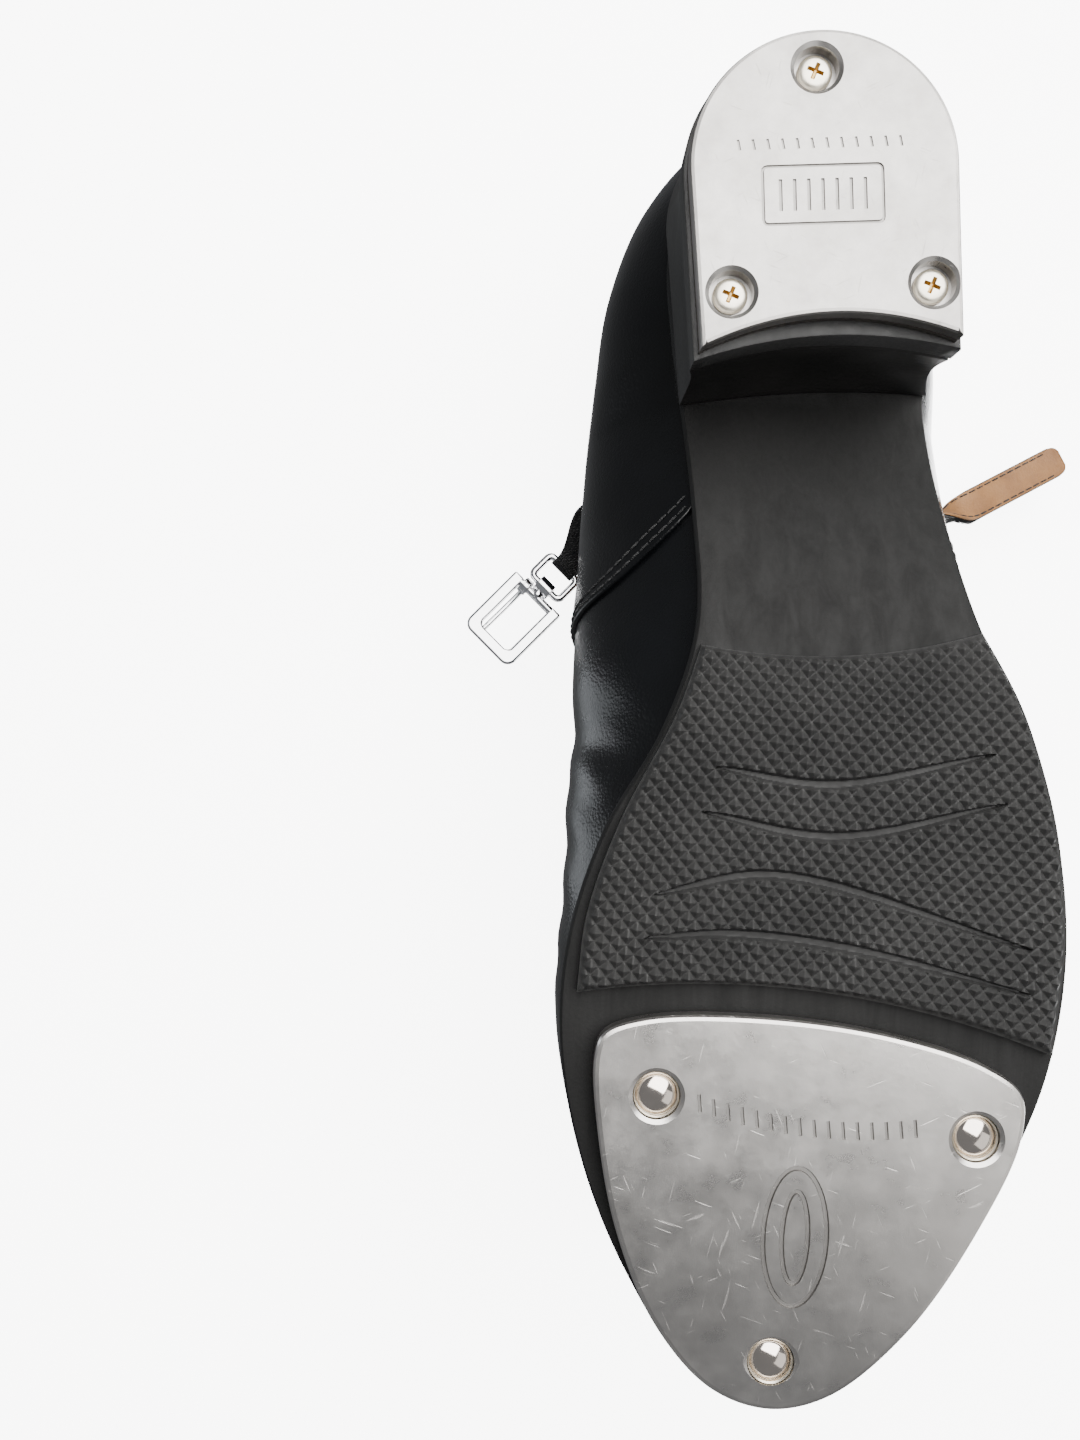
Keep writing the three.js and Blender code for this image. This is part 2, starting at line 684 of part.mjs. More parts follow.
// Narrow band that closes the raw edges of leather and lining round the opening.
function toplineBinding(depth) {
  const count = 56;
  const height = 1.3;
  const lift = 1.2;
  const frameAt = (i) => {
    const w = i / count;
    const k = w <= 0.5 ? w * 2 * THROAT : LOOP - (1 - w) * 2 * THROAT;
    const along = TOP_EDGE.getTangent(THREE.MathUtils.euclideanModulo(w, 1));
    const top = upperAt(k, 1);
    const down = upperAt(k, 0.92).sub(top);
    const normal = along.clone().cross(down).normalize();
    const rise = along.clone().cross(normal).normalize();
    return { top, normal, rise };
  };
  const rings = [];
  for (let i = 0; i < count; i += 1) {
    const { top, normal, rise } = frameAt(i);
    const corner = (deep, high) =>
      top.clone().addScaledVector(normal, -deep).addScaledVector(rise, high);
    rings.push([
      corner(-0.1, lift),
      corner(depth - 1.2, lift),
      corner(depth - 1.6, lift + height),
      corner(0.5, lift + height),
    ]);
  }
  const points = rings.flat();
  const faces = [];
  for (let i = 0; i < count; i += 1) {
    const a = i * 4;
    const b = ((i + 1) % count) * 4;
    for (let j = 0; j < 4; j += 1) {
      const next = (j + 1) % 4;
      faces.push([a + j, b + j, b + next]);
      faces.push([a + j, b + next, a + next]);
    }
  }
  add('topline_binding', geometryFrom(points, faces), 'leather');
}

// ---------- strap ----------
// The strap leaves the lateral top edge outwards and turns half over along its own length,
// so that its lining faces down from there to its rounded tip.
const STRAP_PIVOT = V(34.0, 48.5, 70.6);
const STRAP_TURN = THREE.MathUtils.degToRad(-30);
const STRAP_RISE = THREE.MathUtils.degToRad(14);
// The end sewn to the shoe lies over the binding, between these lengths before the pivot.
const ANCHOR_START = -5.3;
const ANCHOR_END = -2.1;

function strapFrame() {
  const frame = new THREE.Group();
  frame.position.copy(STRAP_PIVOT);
  frame.rotation.order = 'ZYX';
  frame.rotation.z = STRAP_TURN;
  frame.rotation.y = -STRAP_RISE;
  shoe.add(frame);
  return frame;
}

// Ribbon along the frame's X from x0 to x1, between heights low and high of the strap's
// own section, which turns half over between TWIST_START and TWIST_END.
function ribbon(x0, x1, low, high, width, steps) {
  const rings = [];
  const tipStart = STRAP_LENGTH - width / 2;
  for (let i = 0; i <= steps; i += 1) {
    const x = mix(x0, x1, i / steps);
    const turn = Math.PI * smooth(TWIST_START, TWIST_END, x);
    const past = Math.max(0, x - tipStart) / (width / 2);
    const half = (width / 2) * Math.sqrt(Math.max(0.3, 1 - past ** 4));
    const corner = (y, z) => V(0, y, z).applyAxisAngle(V(1, 0, 0), turn).setX(x);
    rings.push([corner(-half, low), corner(half, low), corner(half, high), corner(-half, high)]);
  }
  return loftRings(rings);
}

function strap() {
  const frame = strapFrame();
  const low = -STRAP_LEATHER;
  const anchor = ribbon(ANCHOR_START, ANCHOR_END, low, STRAP_LINING, STRAP_WIDTH, 2);
  add('strap_anchor', anchor, 'leather', frame);
  const root = ribbon(GAP, TWIST_START - 2.3, low, STRAP_LINING, STRAP_WIDTH, 2);
  add('strap_root', root, 'leather', frame);
  const from = TWIST_START - 2;
  add('strap', ribbon(from, STRAP_LENGTH, low, -0.1, STRAP_WIDTH, 24), 'leather', frame);
  add('strap_lining', ribbon(
    from, STRAP_LENGTH - 0.4, 0.1, STRAP_LINING, STRAP_WIDTH - 0.8, 24,
  ), 'lining', frame);
}

// ---------- elastic tab, wire loop and buckle ----------
const TAB_PIVOT = V(-33.2, 47.0, 69.9);
const TAB_TURN = THREE.MathUtils.degToRad(133);
const TAB_LENGTH = 12.5;
const TAB_HALF_BASE = 8.5;
const TAB_HALF_END = 3.0;
const TAB_THICKNESS = 1.6;
const LOOP_LENGTH = 6.5;
const LOOP_HALF = 4.4;
const FRAME_LENGTH = 15.5;
const FRAME_HALF = 6.4;
const FRAME_WIRE_R = 1.0;
const FRAME_RAIL = 2.8;
const FRAME_CORNER = 2.4;
const PRONG_HEIGHT = 2.5;

// A bar of round section between two points.
function bar(from, to, radius, segments = 10) {
  const length = from.distanceTo(to);
  const geometry = new THREE.CylinderGeometry(radius, radius, length, segments);
  const along = to.clone().sub(from).normalize();
  geometry.applyQuaternion(new THREE.Quaternion().setFromUnitVectors(V(0, 1, 0), along));
  const centre = from.clone().lerp(to, 0.5);
  return geometry.translate(centre.x, centre.y, centre.z);
}

// Rectangular ring of round bar: x0 and x1 are the centre lines of its two cross bars.
function barRing(x0, x1, half, radius) {
  const corners = [V(x0, -half, 0), V(x1, -half, 0), V(x1, half, 0), V(x0, half, 0)];
  const pieces = corners.map((p, i) => bar(p, corners[(i + 1) % 4], radius));
  const knobs = corners.map((p) =>
    new THREE.SphereGeometry(radius * 1.02, 8, 5).translate(p.x, p.y, p.z));
  return join(pieces[0], ...pieces.slice(1), ...knobs);
}

// Flat rail round three sides of the buckle; a round bar closes the side of the prong.
function railPlate(x0, x1, half, thickness) {
  const turn = x1 - FRAME_CORNER;
  const inner = half - FRAME_RAIL;
  const shape = new THREE.Shape();
  shape.moveTo(x0, -half);
  shape.lineTo(turn, -half);
  shape.absarc(turn, -half + FRAME_CORNER, FRAME_CORNER, -Math.PI / 2, 0, false);
  shape.absarc(turn, half - FRAME_CORNER, FRAME_CORNER, 0, Math.PI / 2, false);
  shape.lineTo(x0, half);
  shape.lineTo(x0, inner);
  shape.lineTo(x1 - FRAME_RAIL, inner);
  shape.lineTo(x1 - FRAME_RAIL, -inner);
  shape.lineTo(x0, -inner);
  const options = { depth: thickness, bevelEnabled: false, curveSegments: 5 };
  return new THREE.ExtrudeGeometry(shape, options).translate(0, 0, -thickness / 2);
}

function buckle() {
  const frame = new THREE.Group();
  frame.position.copy(TAB_PIVOT);
  frame.rotation.z = TAB_TURN;
  shoe.add(frame);
  const halfAt = (x) => mix(TAB_HALF_BASE, TAB_HALF_END, smooth(0, TAB_LENGTH, x));
  const rings = [];
  const steps = 6;
  for (let i = 0; i <= steps; i += 1) {
    const x = mix(-1, TAB_LENGTH - 0.4, i / steps);
    const half = halfAt(x);
    const skew = mix(-1.0, 0, i / steps);
    const bottom = -TAB_THICKNESS / 2 + 0.25;
    const top = TAB_THICKNESS / 2 + 0.25;
    rings.push([
      V(x, skew - half, bottom), V(x, skew + half, bottom),
      V(x, skew + half, top), V(x, skew - half, top),
    ]);
  }
  const eyeX = TAB_LENGTH;
  const eyeHalf = TAB_HALF_END - 0.7;
  const eye = bar(V(eyeX, -eyeHalf, 0.25), V(eyeX, eyeHalf, 0.25), 1.75, 16);
  const eyeHole = bar(V(eyeX, -9, 0.25), V(eyeX, 9, 0.25), WIRE_R + GAP, 16);
  add('elastic_tab', cut(join(loftRings(rings), eye), eyeHole), 'elastic', frame);
  const loopEnd = TAB_LENGTH + LOOP_LENGTH;
  const loop = barRing(TAB_LENGTH, loopEnd, LOOP_HALF, WIRE_R).translate(0, 0, 0.25);
  add('buckle_loop', loop, 'chrome', frame);
  const knuckle = bar(V(loopEnd, -2, 0.25), V(loopEnd, 2, 0.25), 2.0, 16);
  const knuckleHole = bar(V(loopEnd, -9, 0.25), V(loopEnd, 9, 0.25), WIRE_R + GAP, 16);
  const bodyStart = loopEnd + 3.0;
  const frameBar = bar(V(bodyStart, -FRAME_HALF, 0), V(bodyStart, FRAME_HALF, 0), FRAME_WIRE_R);
  const railStart = bodyStart - FRAME_WIRE_R;
  const railEnd = bodyStart + FRAME_LENGTH + FRAME_WIRE_R;
  const rails = railPlate(railStart, railEnd, FRAME_HALF + FRAME_WIRE_R, 2 * FRAME_WIRE_R);
  const neck = bar(V(loopEnd + 1.4, 0, 0), V(bodyStart + 0.2, 0, 0), 1.5);
  frameBar.translate(0, 0, 0.25);
  rails.translate(0, 0, 0.25);
  neck.translate(0, 0, 0.25);
  add('buckle_frame', cut(join(knuckle, neck, frameBar, rails), knuckleHole), 'chrome', frame);
  const prongY = 3.4;
  const wrap = bar(V(bodyStart, prongY - 1, 0.25), V(bodyStart, prongY + 1, 0.25), 2.1, 14);
  const wrapHole = bar(V(bodyStart, -9, 0.25), V(bodyStart, 9, 0.25), FRAME_WIRE_R + GAP, 14);
  const tip = V(bodyStart + FRAME_LENGTH + 0.6, prongY, PRONG_HEIGHT);
  const prong = bar(V(bodyStart, prongY, PRONG_HEIGHT), tip, 0.6, 8);
  add('buckle_prong', cut(join(wrap, prong), wrapHole), 'chrome', frame);
}

heel();
forefoot();
insoles();
upper();
strap();
buckle();

export default shoe;
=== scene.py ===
"""Tap shoe, right foot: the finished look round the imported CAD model."""
import random
from math import cos, dist, hypot, pi, radians, sin, sqrt

import bmesh
import bpy
import numpy as np
from mathutils import Matrix, Vector


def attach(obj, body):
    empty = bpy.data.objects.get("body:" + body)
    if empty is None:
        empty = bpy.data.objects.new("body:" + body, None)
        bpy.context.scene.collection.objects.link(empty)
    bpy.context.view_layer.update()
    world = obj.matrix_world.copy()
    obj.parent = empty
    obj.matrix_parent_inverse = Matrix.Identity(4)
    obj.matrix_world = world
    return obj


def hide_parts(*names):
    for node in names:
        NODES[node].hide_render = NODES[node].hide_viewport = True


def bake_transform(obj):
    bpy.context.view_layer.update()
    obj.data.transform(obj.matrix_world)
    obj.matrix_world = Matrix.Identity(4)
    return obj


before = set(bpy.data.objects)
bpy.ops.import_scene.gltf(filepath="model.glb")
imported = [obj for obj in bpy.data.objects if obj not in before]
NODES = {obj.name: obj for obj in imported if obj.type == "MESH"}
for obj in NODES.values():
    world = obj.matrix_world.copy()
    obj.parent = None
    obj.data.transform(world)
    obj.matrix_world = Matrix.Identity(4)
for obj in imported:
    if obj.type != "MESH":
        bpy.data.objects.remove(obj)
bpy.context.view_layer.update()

MM = 0.001
rng = random.Random(7)


# ---- materials
class Nodes:
    """A node material: each call adds a node and links its inputs."""

    def __init__(self, name):
        self.material = bpy.data.materials.new(name)
        self.material.use_nodes = True
        self.tree = self.material.node_tree
        self.shader = self.tree.nodes["Principled BSDF"]
        self.coords = self.tree.nodes.new("ShaderNodeTexCoord").outputs["Object"]

    def add(self, kind, values=None, **settings):
        node = self.tree.nodes.new("ShaderNode" + kind)
        for key, value in settings.items():
            setattr(node, key, value)
        for key, value in (values or {}).items():
            self.put(node.inputs[key], value)
        return node

    def put(self, socket, value):
        if isinstance(value, bpy.types.NodeSocket):
            self.tree.links.new(value, socket)
        else:
            socket.default_value = value

    def set(self, **values):
        for key, value in values.items():
            self.put(self.shader.inputs[key.replace("_", " ")], value)

    def noise(self, scale, detail=4.0, rough=0.55, stretch=None, distortion=0.0):
        vector = self.coords
        if stretch:
            mapping = self.add("Mapping", {"Vector": self.coords, "Scale": stretch})
            vector = mapping.outputs["Vector"]
        node = self.add("TexNoise", {
            "Vector": vector, "Scale": scale, "Detail": detail, "Roughness": rough,
            "Distortion": distortion,
        })
        return node.outputs["Fac"]

    def voronoi(self, scale, feature="F1"):
        node = self.add("TexVoronoi", {"Vector": self.coords, "Scale": scale}, feature=feature)
        return node.outputs["Distance"]

    def ramp(self, value, stops):
        node = self.add("ValToRGB", {"Fac": value})
        elements = node.color_ramp.elements
        while len(elements) < len(stops):
            elements.new(0.5)
        for element, (place, color) in zip(elements, stops):
            element.position = place
            element.color = (*color, 1.0) if len(color) == 3 else color
        return node.outputs["Color"]

    def span(self, value, low, high, to_low, to_high):
        node = self.add("MapRange", {
            "Value": value, "From Min": low, "From Max": high,
            "To Min": to_low, "To Max": to_high,
        })
        return node.outputs["Result"]

    def math(self, operation, a, b=0.0):
        node = self.add("Math", operation=operation)
        self.put(node.inputs[0], a)
        self.put(node.inputs[1], b)
        return node.outputs[0]

    def bump(self, *layers):
        """layers are (height, distance in metres), laid one over the other."""
        normal = None
        for height, distance in layers:
            values = {"Height": height, "Distance": distance, "Strength": 1.0}
            if normal is not None:
                values["Normal"] = normal
            normal = self.add("Bump", values).outputs["Normal"]
        self.put(self.shader.inputs["Normal"], normal)


def grey(value, warm=0.0):
    return (value * (1 + warm), value, value * (1 - warm))


def leather_black():
    m = Nodes("leather_black")
    cloud = m.noise(35, 3)
    grain = m.voronoi(1900, "SMOOTH_F1")
    pores = m.noise(2600, 2)
    color = m.ramp(cloud, [(0.3, (0.0012, 0.0014, 0.0017)), (0.75, (0.0024, 0.0028, 0.0036))])
    m.set(Base_Color=color, Roughness=m.span(m.noise(70, 5), 0.3, 0.7, 0.24, 0.31))
    m.set(Specular_IOR_Level=0.34)
    m.bump((m.noise(45, 2), 0.00018), (grain, 0.00005), (pores, 0.00002))
    return m.material


def leather_tan():
    m = Nodes("leather_tan")
    color = m.ramp(m.noise(160, 6), [
        (0.25, (0.17, 0.072, 0.02)), (0.55, (0.235, 0.106, 0.031)), (0.8, (0.29, 0.14, 0.046)),
    ])
    m.set(Base_Color=color, Roughness=m.span(m.noise(90, 4), 0.3, 0.7, 0.55, 0.8))
    m.set(Sheen_Weight=0.15)
    m.bump((m.voronoi(1500), 0.00008), (m.noise(900, 5), 0.0001))
    return m.material


def rubber(name, low, high, rough, bumps=0.00006):
    m = Nodes(name)
    color = m.ramp(m.noise(45, 6), [(0.3, low), (0.75, high)])
    scuffs = m.noise(260, 6, 0.7, (1.0, 0.12, 1.0), 0.4)
    m.set(Base_Color=color, Roughness=m.span(scuffs, 0.35, 0.7, rough - 0.12, rough + 0.12))
    m.set(Specular_IOR_Level=0.22)
    m.bump((m.noise(1300, 5), bumps), (scuffs, bumps * 0.6))
    return m.material


def aluminium(name, tone, rough, smudges, mottle=0.88):
    m = Nodes(name)
    cloud = m.noise(60, 9, 0.68)
    tones = m.ramp(cloud, [(0.3, grey(tone * mottle, 0.04)), (0.7, grey(tone, 0.035))])
    scratches = None
    for turn in (0.2, 1.1, 1.9, 2.7):
        mapping = m.add("Mapping", {
            "Vector": m.coords, "Rotation": (0, 0, turn), "Scale": (1.0, 16.0, 1.0),
        }, vector_type="TEXTURE")
        lines = m.add("TexNoise", {
            "Vector": mapping.outputs["Vector"], "Scale": 1500 + 260 * turn, "Detail": 1.0,
        })
        mark = m.span(lines.outputs["Fac"], 0.73, 0.77, 0.0, 1.0)
        scratches = mark if scratches is None else m.math("MAXIMUM", scratches, mark)
    patches = m.span(m.noise(55, 7, 0.62), 0.58 - smudges, 0.82 - smudges, 0.0, 1.0)
    specks = m.span(m.noise(1100, 6, 0.7), 0.64, 0.72, 0.0, 1.0)
    dirt = m.math("MULTIPLY", patches, m.math("ADD", 0.35, m.math("MULTIPLY", specks, 0.65)))
    mixed = m.add("Mix", data_type="RGBA", blend_type="MIX")
    m.put(mixed.inputs["Factor"], m.math("MULTIPLY", dirt, 0.5))
    m.put(mixed.inputs[6], tones)
    m.put(mixed.inputs[7], (0.12, 0.115, 0.11, 1.0))
    m.set(Base_Color=mixed.outputs[2], Metallic=1.0)
    satin = m.span(m.noise(150, 8, 0.65), 0.3, 0.7, rough - 0.05, rough + 0.06)
    m.set(Roughness=m.math("ADD", satin, m.math("MULTIPLY", scratches, 0.12)))
    m.bump((m.noise(45, 2), 0.00003), (m.noise(900, 5), 0.000012), (scratches, -0.00001))
    return m.material


def plated(name, color, rough, wear=0.02):
    m = Nodes(name)
    tint = m.ramp(m.noise(300, 4), [(0.3, tuple(c * 0.9 for c in color)), (0.7, color)])
    m.set(Base_Color=tint, Metallic=1.0)
    m.set(Roughness=m.span(m.noise(500, 5), 0.3, 0.7, rough, rough + wear))
    m.bump((m.noise(220, 2), 0.00001))
    return m.material


def heel_gloss():
    m = Nodes("heel_gloss")
    stack = m.noise(500, 3, 0.5, (0.05, 0.05, 1.0))
    color = m.ramp(m.noise(60, 4), [(0.3, grey(0.008)), (0.8, grey(0.016, 0.05))])
    m.set(Base_Color=color, Roughness=m.span(m.noise(120, 5), 0.3, 0.7, 0.4, 0.55))
    m.set(Specular_IOR_Level=0.4)
    m.bump((stack, 0.00006), (m.noise(700, 4), 0.00004))
    return m.material


def fibre(name, low, high):
    m = Nodes(name)
    flecks = m.noise(900, 8, 0.7, (1.0, 0.3, 1.0))
    m.set(Base_Color=m.ramp(flecks, [(0.3, low), (0.7, high)]), Roughness=0.88)
    m.bump((flecks, 0.00012))
    return m.material


def woven(name, color, pitch, across):
    m = Nodes(name)
    wave = m.add("TexWave", {"Vector": m.coords, "Scale": 1.0 / pitch, "Distortion": 0.6})
    wave.bands_direction = across
    rib = wave.outputs["Fac"]
    dark = tuple(c * 0.45 for c in color)
    m.set(Base_Color=m.ramp(rib, [(0.2, dark), (0.8, color)]), Roughness=0.9)
    m.set(Sheen_Weight=0.12, Sheen_Roughness=0.4, Specular_IOR_Level=0.2)
    m.bump((rib, 0.0002), (m.noise(3000, 4), 0.0002))
    return m.material


LEATHER = leather_black()
TAN = leather_tan()
SOLE = rubber("rubber_smooth", grey(0.0068), grey(0.0108, 0.01), 0.72)
TREAD = rubber("rubber_tread", grey(0.018), grey(0.03, 0.01), 0.55, 0.00004)
LIFT = rubber("rubber_lift", grey(0.028), grey(0.044), 0.45)
HEEL = heel_gloss()
HEEL_TAP = aluminium("aluminium_heel", 0.47, 0.34, 0.05, 0.6)
TOE_TAP = aluminium("aluminium_toe", 0.62, 0.3, 0.04)
# Darker aluminium for the walls of the heel tap's counterbores: painted shade in the recessed holes.
RECESS_PAINTED_SHADE = aluminium("aluminium_recess_painted_shade", 0.36, 0.3, 0.1)
# Darker aluminium for the engraved marks: painted shade in the grooves.
GROOVE_PAINTED_SHADE = aluminium("aluminium_groove_painted_shade", 0.3, 0.45, 0.1)
NICKEL = plated("screw_nickel", (0.86, 0.8, 0.68), 0.32, 0.12)
BRASS = plated("screw_brass", (0.58, 0.4, 0.16), 0.4, 0.15)
RIVET = plated("rivet_polished", (0.84, 0.76, 0.69), 0.08, 0.05)
CHROME = plated("chrome_bright", (0.9, 0.9, 0.92), 0.04, 0.05)
STEEL = plated("steel_plain", (0.5, 0.51, 0.53), 0.35, 0.15)
BOARD = fibre("board_dark", grey(0.02, 0.1), grey(0.07, 0.15))
FIBRE = fibre("board_insole", (0.3, 0.2, 0.11), (0.46, 0.34, 0.2))
FELT = fibre("felt_stiffener", (0.5, 0.46, 0.38), (0.68, 0.64, 0.54))
CORK = fibre("cork_filler", (0.2, 0.12, 0.06), (0.42, 0.28, 0.15))
ELASTIC = woven("elastic_black", (0.009, 0.009, 0.01), 0.0012, "Y")
TAPE = woven("tape_black", (0.004, 0.004, 0.0045), 0.0009, "DIAGONAL")
THREAD = woven("thread_black", (0.05, 0.05, 0.052), 0.0005, "DIAGONAL")


# ---- mesh tools
WELD = 2e-6


def piece(name, verts, faces, material, body="shoe", node=None, slot=None, smooth=40):
    """A mesh object that rides on a body and may stand for CAD nodes."""
    mesh = bpy.data.meshes.new(name)
    mesh.from_pydata([tuple(v) for v in verts], [], faces)
    mesh.validate()
    for one in material if isinstance(material, list) else [material]:
        mesh.materials.append(one)
    obj = bpy.data.objects.new(name, mesh)
    bpy.context.scene.collection.objects.link(obj)
    shade(obj, smooth)
    if body:
        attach(obj, body)
    if node:
        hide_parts(*([node] if isinstance(node, str) else node))
    return obj


def shade(obj, angle):
    mesh = obj.data
    mesh.shade_smooth()
    mesh.set_sharp_from_angle(angle=radians(angle))


def unit(v):
    """Vectors along the last axis, each scaled to length one."""
    return v / np.linalg.norm(v, axis=-1)[..., None]


def grid_faces(rows, columns, wrap_rows=False, wrap_columns=False):
    faces = []
    for i in range(rows if wrap_rows else rows - 1):
        for j in range(columns if wrap_columns else columns - 1):
            a = i * columns + j
            b = i * columns + (j + 1) % columns
            up = ((i + 1) % rows) * columns
            faces.append((a, b, up + (j + 1) % columns, up + j))
    return faces


def clean(obj):
    """Sews points that coincide and drops faces without area."""
    bm = bmesh.new()
    bm.from_mesh(obj.data)
    bmesh.ops.remove_doubles(bm, verts=bm.verts, dist=WELD)
    bmesh.ops.dissolve_degenerate(bm, edges=bm.edges, dist=WELD / 20)
    bm.to_mesh(obj.data)
    bm.free()


def outward(obj):
    """Turns the faces of a closed piece outwards."""
    bm = bmesh.new()
    bm.from_mesh(obj.data)
    bmesh.ops.recalc_face_normals(bm, faces=bm.faces)
    bm.to_mesh(obj.data)
    bm.free()
    return obj


def apply_modifiers(obj):
    graph = bpy.context.evaluated_depsgraph_get()
    mesh = bpy.data.meshes.new_from_object(obj.evaluated_get(graph))
    obj.modifiers.clear()
    obj.data = mesh


def bevel(obj, width, segments=2, angle=50):
    modifier = obj.modifiers.new("edge", "BEVEL")
    modifier.width = width
    modifier.segments = segments
    modifier.limit_method = "ANGLE"
    modifier.angle_limit = radians(angle)
    modifier.use_clamp_overlap = True


def solidify(obj, thickness, edge=0.0004):
    modifier = obj.modifiers.new("thickness", "SOLIDIFY")
    modifier.thickness = thickness
    modifier.offset = -1
    if edge:
        bevel(obj, edge, 2, 60)


def rings_mesh(rings):
    """Vertices and faces of a closed body through rings of equal length."""
    size = len(rings[0])
    verts = [p for ring in rings for p in ring]
    faces = grid_faces(len(rings), size, wrap_columns=True)
    faces.append(tuple(reversed(range(size))))
    last = (len(rings) - 1) * size
    faces.append(tuple(last + i for i in range(size)))
    return verts, faces


def solid(name, rings, material, **more):
    """Closed piece through rings of equal length."""
    return outward(piece(name, *rings_mesh(rings), material, **more))


def arc(x, y, radius, start, sweep, steps):
    """Points of an arc, its angles in degrees."""
    turns = [radians(start + sweep * i / steps) for i in range(steps + 1)]
    return [(x + radius * cos(a), y + radius * sin(a)) for a in turns]


def rounded(x0, x1, y0, y1, corner, steps):
    """Rectangle with rounded corners."""
    return [
        *arc(x1 - corner, y1 - corner, corner, 0, 90, steps),
        *arc(x0 + corner, y1 - corner, corner, 90, 90, steps),
        *arc(x0 + corner, y0 + corner, corner, 180, 90, steps),
        *arc(x1 - corner, y0 + corner, corner, 270, 90, steps),
    ]


def turned(name, profile, centre, material, segments=48, **more):
    """Turned body on Z through (radius, height) in millimetres, axis to axis or a closed ring."""
    profile = [(r * MM, (z + centre[2]) * MM) for r, z in profile]
    cx, cy = centre[0] * MM, centre[1] * MM
    verts = []
    faces = []
    rings = []
    for radius, z in profile:
        if radius < 1e-9:
            rings.append([len(verts)])
            verts.append((cx, cy, z))
            continue
        rings.append(list(range(len(verts), len(verts) + segments)))
        for i in range(segments):
            a = 2 * pi * i / segments
            verts.append((cx + radius * cos(a), cy + radius * sin(a), z))
    for low, high in zip(rings, rings[1:]):
        for i in range(segments):
            j = (i + 1) % segments
            quad = [low[i % len(low)], low[j % len(low)], high[j % len(high)], high[i % len(high)]]
            faces.append(tuple(dict.fromkeys(quad)))
    return outward(piece(name, verts, faces, material, **more))


def tube(points, radius, sides=10, closed=False):
    """Vertices and faces of a round tube along points, with rounded ends if open."""
    p = np.array(points, float)
    n = len(p)
    if closed:
        t = np.roll(p, -1, 0) - np.roll(p, 1, 0)
    else:
        t = np.gradient(p, axis=0)
    t = unit(t)
    start = np.cross(t[0], (0.3, 0.2, 0.93))
    u = start / np.linalg.norm(start)
    rings = []
    angle = np.arange(sides) * 2 * pi / sides
    for i in range(n):
        u = u - t[i] * np.dot(u, t[i])
        u /= np.linalg.norm(u)
        w = np.cross(t[i], u)
        ring = p[i] + radius * (np.outer(np.cos(angle), u) + np.outer(np.sin(angle), w))
        rings.append(ring)
    if closed:
        verts = np.concatenate(rings)
        return list(verts), grid_faces(n, sides, wrap_rows=True, wrap_columns=True)
    caps = []
    for i, side in ((0, -1), (n - 1, 1)):
        centre = p[i] + side * t[i] * radius * 0.6
        caps.append((rings[i] - p[i]) * 0.7 + centre)
    return rings_mesh([caps[0], *rings, caps[1]])


def joined(parts):
    """One vertex and face list from several."""
    verts = []
    faces = []
    for v, f in parts:
        base = len(verts)
        verts.extend(v)
        faces.extend(tuple(base + i for i in face) for face in f)
    return verts, faces


def carve(obj, cutters, material=None, smooth=32):
    """Cuts closed bodies, given as vertex and face lists, out of a piece."""
    verts, faces = joined(cutters)
    tool = piece("cutter", verts, faces, material or obj.data.materials[0], body=None)
    outward(tool)
    modifier = obj.modifiers.new("cut", "BOOLEAN")
    modifier.operation = "DIFFERENCE"
    modifier.solver = "EXACT"
    modifier.object = tool
    if material:
        modifier.material_mode = "TRANSFER"
    apply_modifiers(obj)
    bpy.data.objects.remove(tool)
    shade(obj, smooth)


def lathe_solid(profile, x, y):
    """Vertices and faces of a turned body with flat ends, profile in millimetres."""
    sides = 40
    angle = np.arange(sides) * 2 * pi / sides
    rings = []
    for radius, z in profile:
        rings.append(np.stack([
            x * MM + radius * MM * np.cos(angle), y * MM + radius * MM * np.sin(angle),
            np.full(sides, z * MM),
        ], 1))
    return rings_mesh(rings)


# ---- the last
# The same stations as the CAD solids, in millimetres: edge of the outsole on the medial
# and the lateral side, and how far the upper bulges over it.
STATIONS = [
    (0.5, -34, 0.5, -34, 7, 7),
    (-13, -30, 13, -30, 9, 8),
    (-21, -18, 21.5, -19, 12, 9),
    (-24, -2, 26.5, -4, 15, 10),
    (-22.8, 14, 28.3, 12, 17, 10),
    (-20.5, 30, 27.4, 30, 19, 10),
    (-18.9, 52, 28.4, 52, 20, 10),
    (-18.9, 74, 32, 73, 19, 9),
    (-24.8, 93, 39.5, 90, 13, 8),
    (-34.2, 111, 45.2, 109, 8, 6),
    (-39.6, 130, 47.4, 130, 6, 5),
    (-40.2, 148, 44.6, 151, 5, 4),
    (-35.8, 168, 36.6, 171, 4.5, 4),
    (-27.6, 187, 26.2, 190, 4, 4),
    (-16.6, 203, 13.2, 206, 3.5, 3.5),
    (-2, 211, -2, 211, 3, 3),
]
TOPLINE = [
    (0.5, 0.5, -33, 88),
    (-13, 14, -29, 86),
    (-23.5, 25, -17, 82),
    (-29.5, 31, 0, 77.5),
    (-32.2, 33.5, 18, 73),
    (-33.8, 34.5, 36, 69),
    (-34.8, 35.5, 53, 65.5),
    (-35.4, 36.5, 70, 61),
    (-34, 36.5, 87, 56.5),
    (-26, 30, 104, 52),
    (0.5, 0.5, 118, 49),
]
RIDGE_POINTS = [(0.5, 118, 49), (1, 137, 43), (0.5, 154, 37.5), (0, 168, 33.5), (-1, 178, 31)]
THROAT = len(TOPLINE) - 1
TOE = len(STATIONS) - 1
LOOP = 2 * TOE
FEATHER_INSET = 1.2
FOOT_GAP = 0.4
LEATHER_THICKNESS = 1.4
BACKSTAY_THICKNESS = 1.3
LINING_THICKNESS = 0.9
LINING_DEPTH = 3.6
QUARTER_LIFT = 0.95
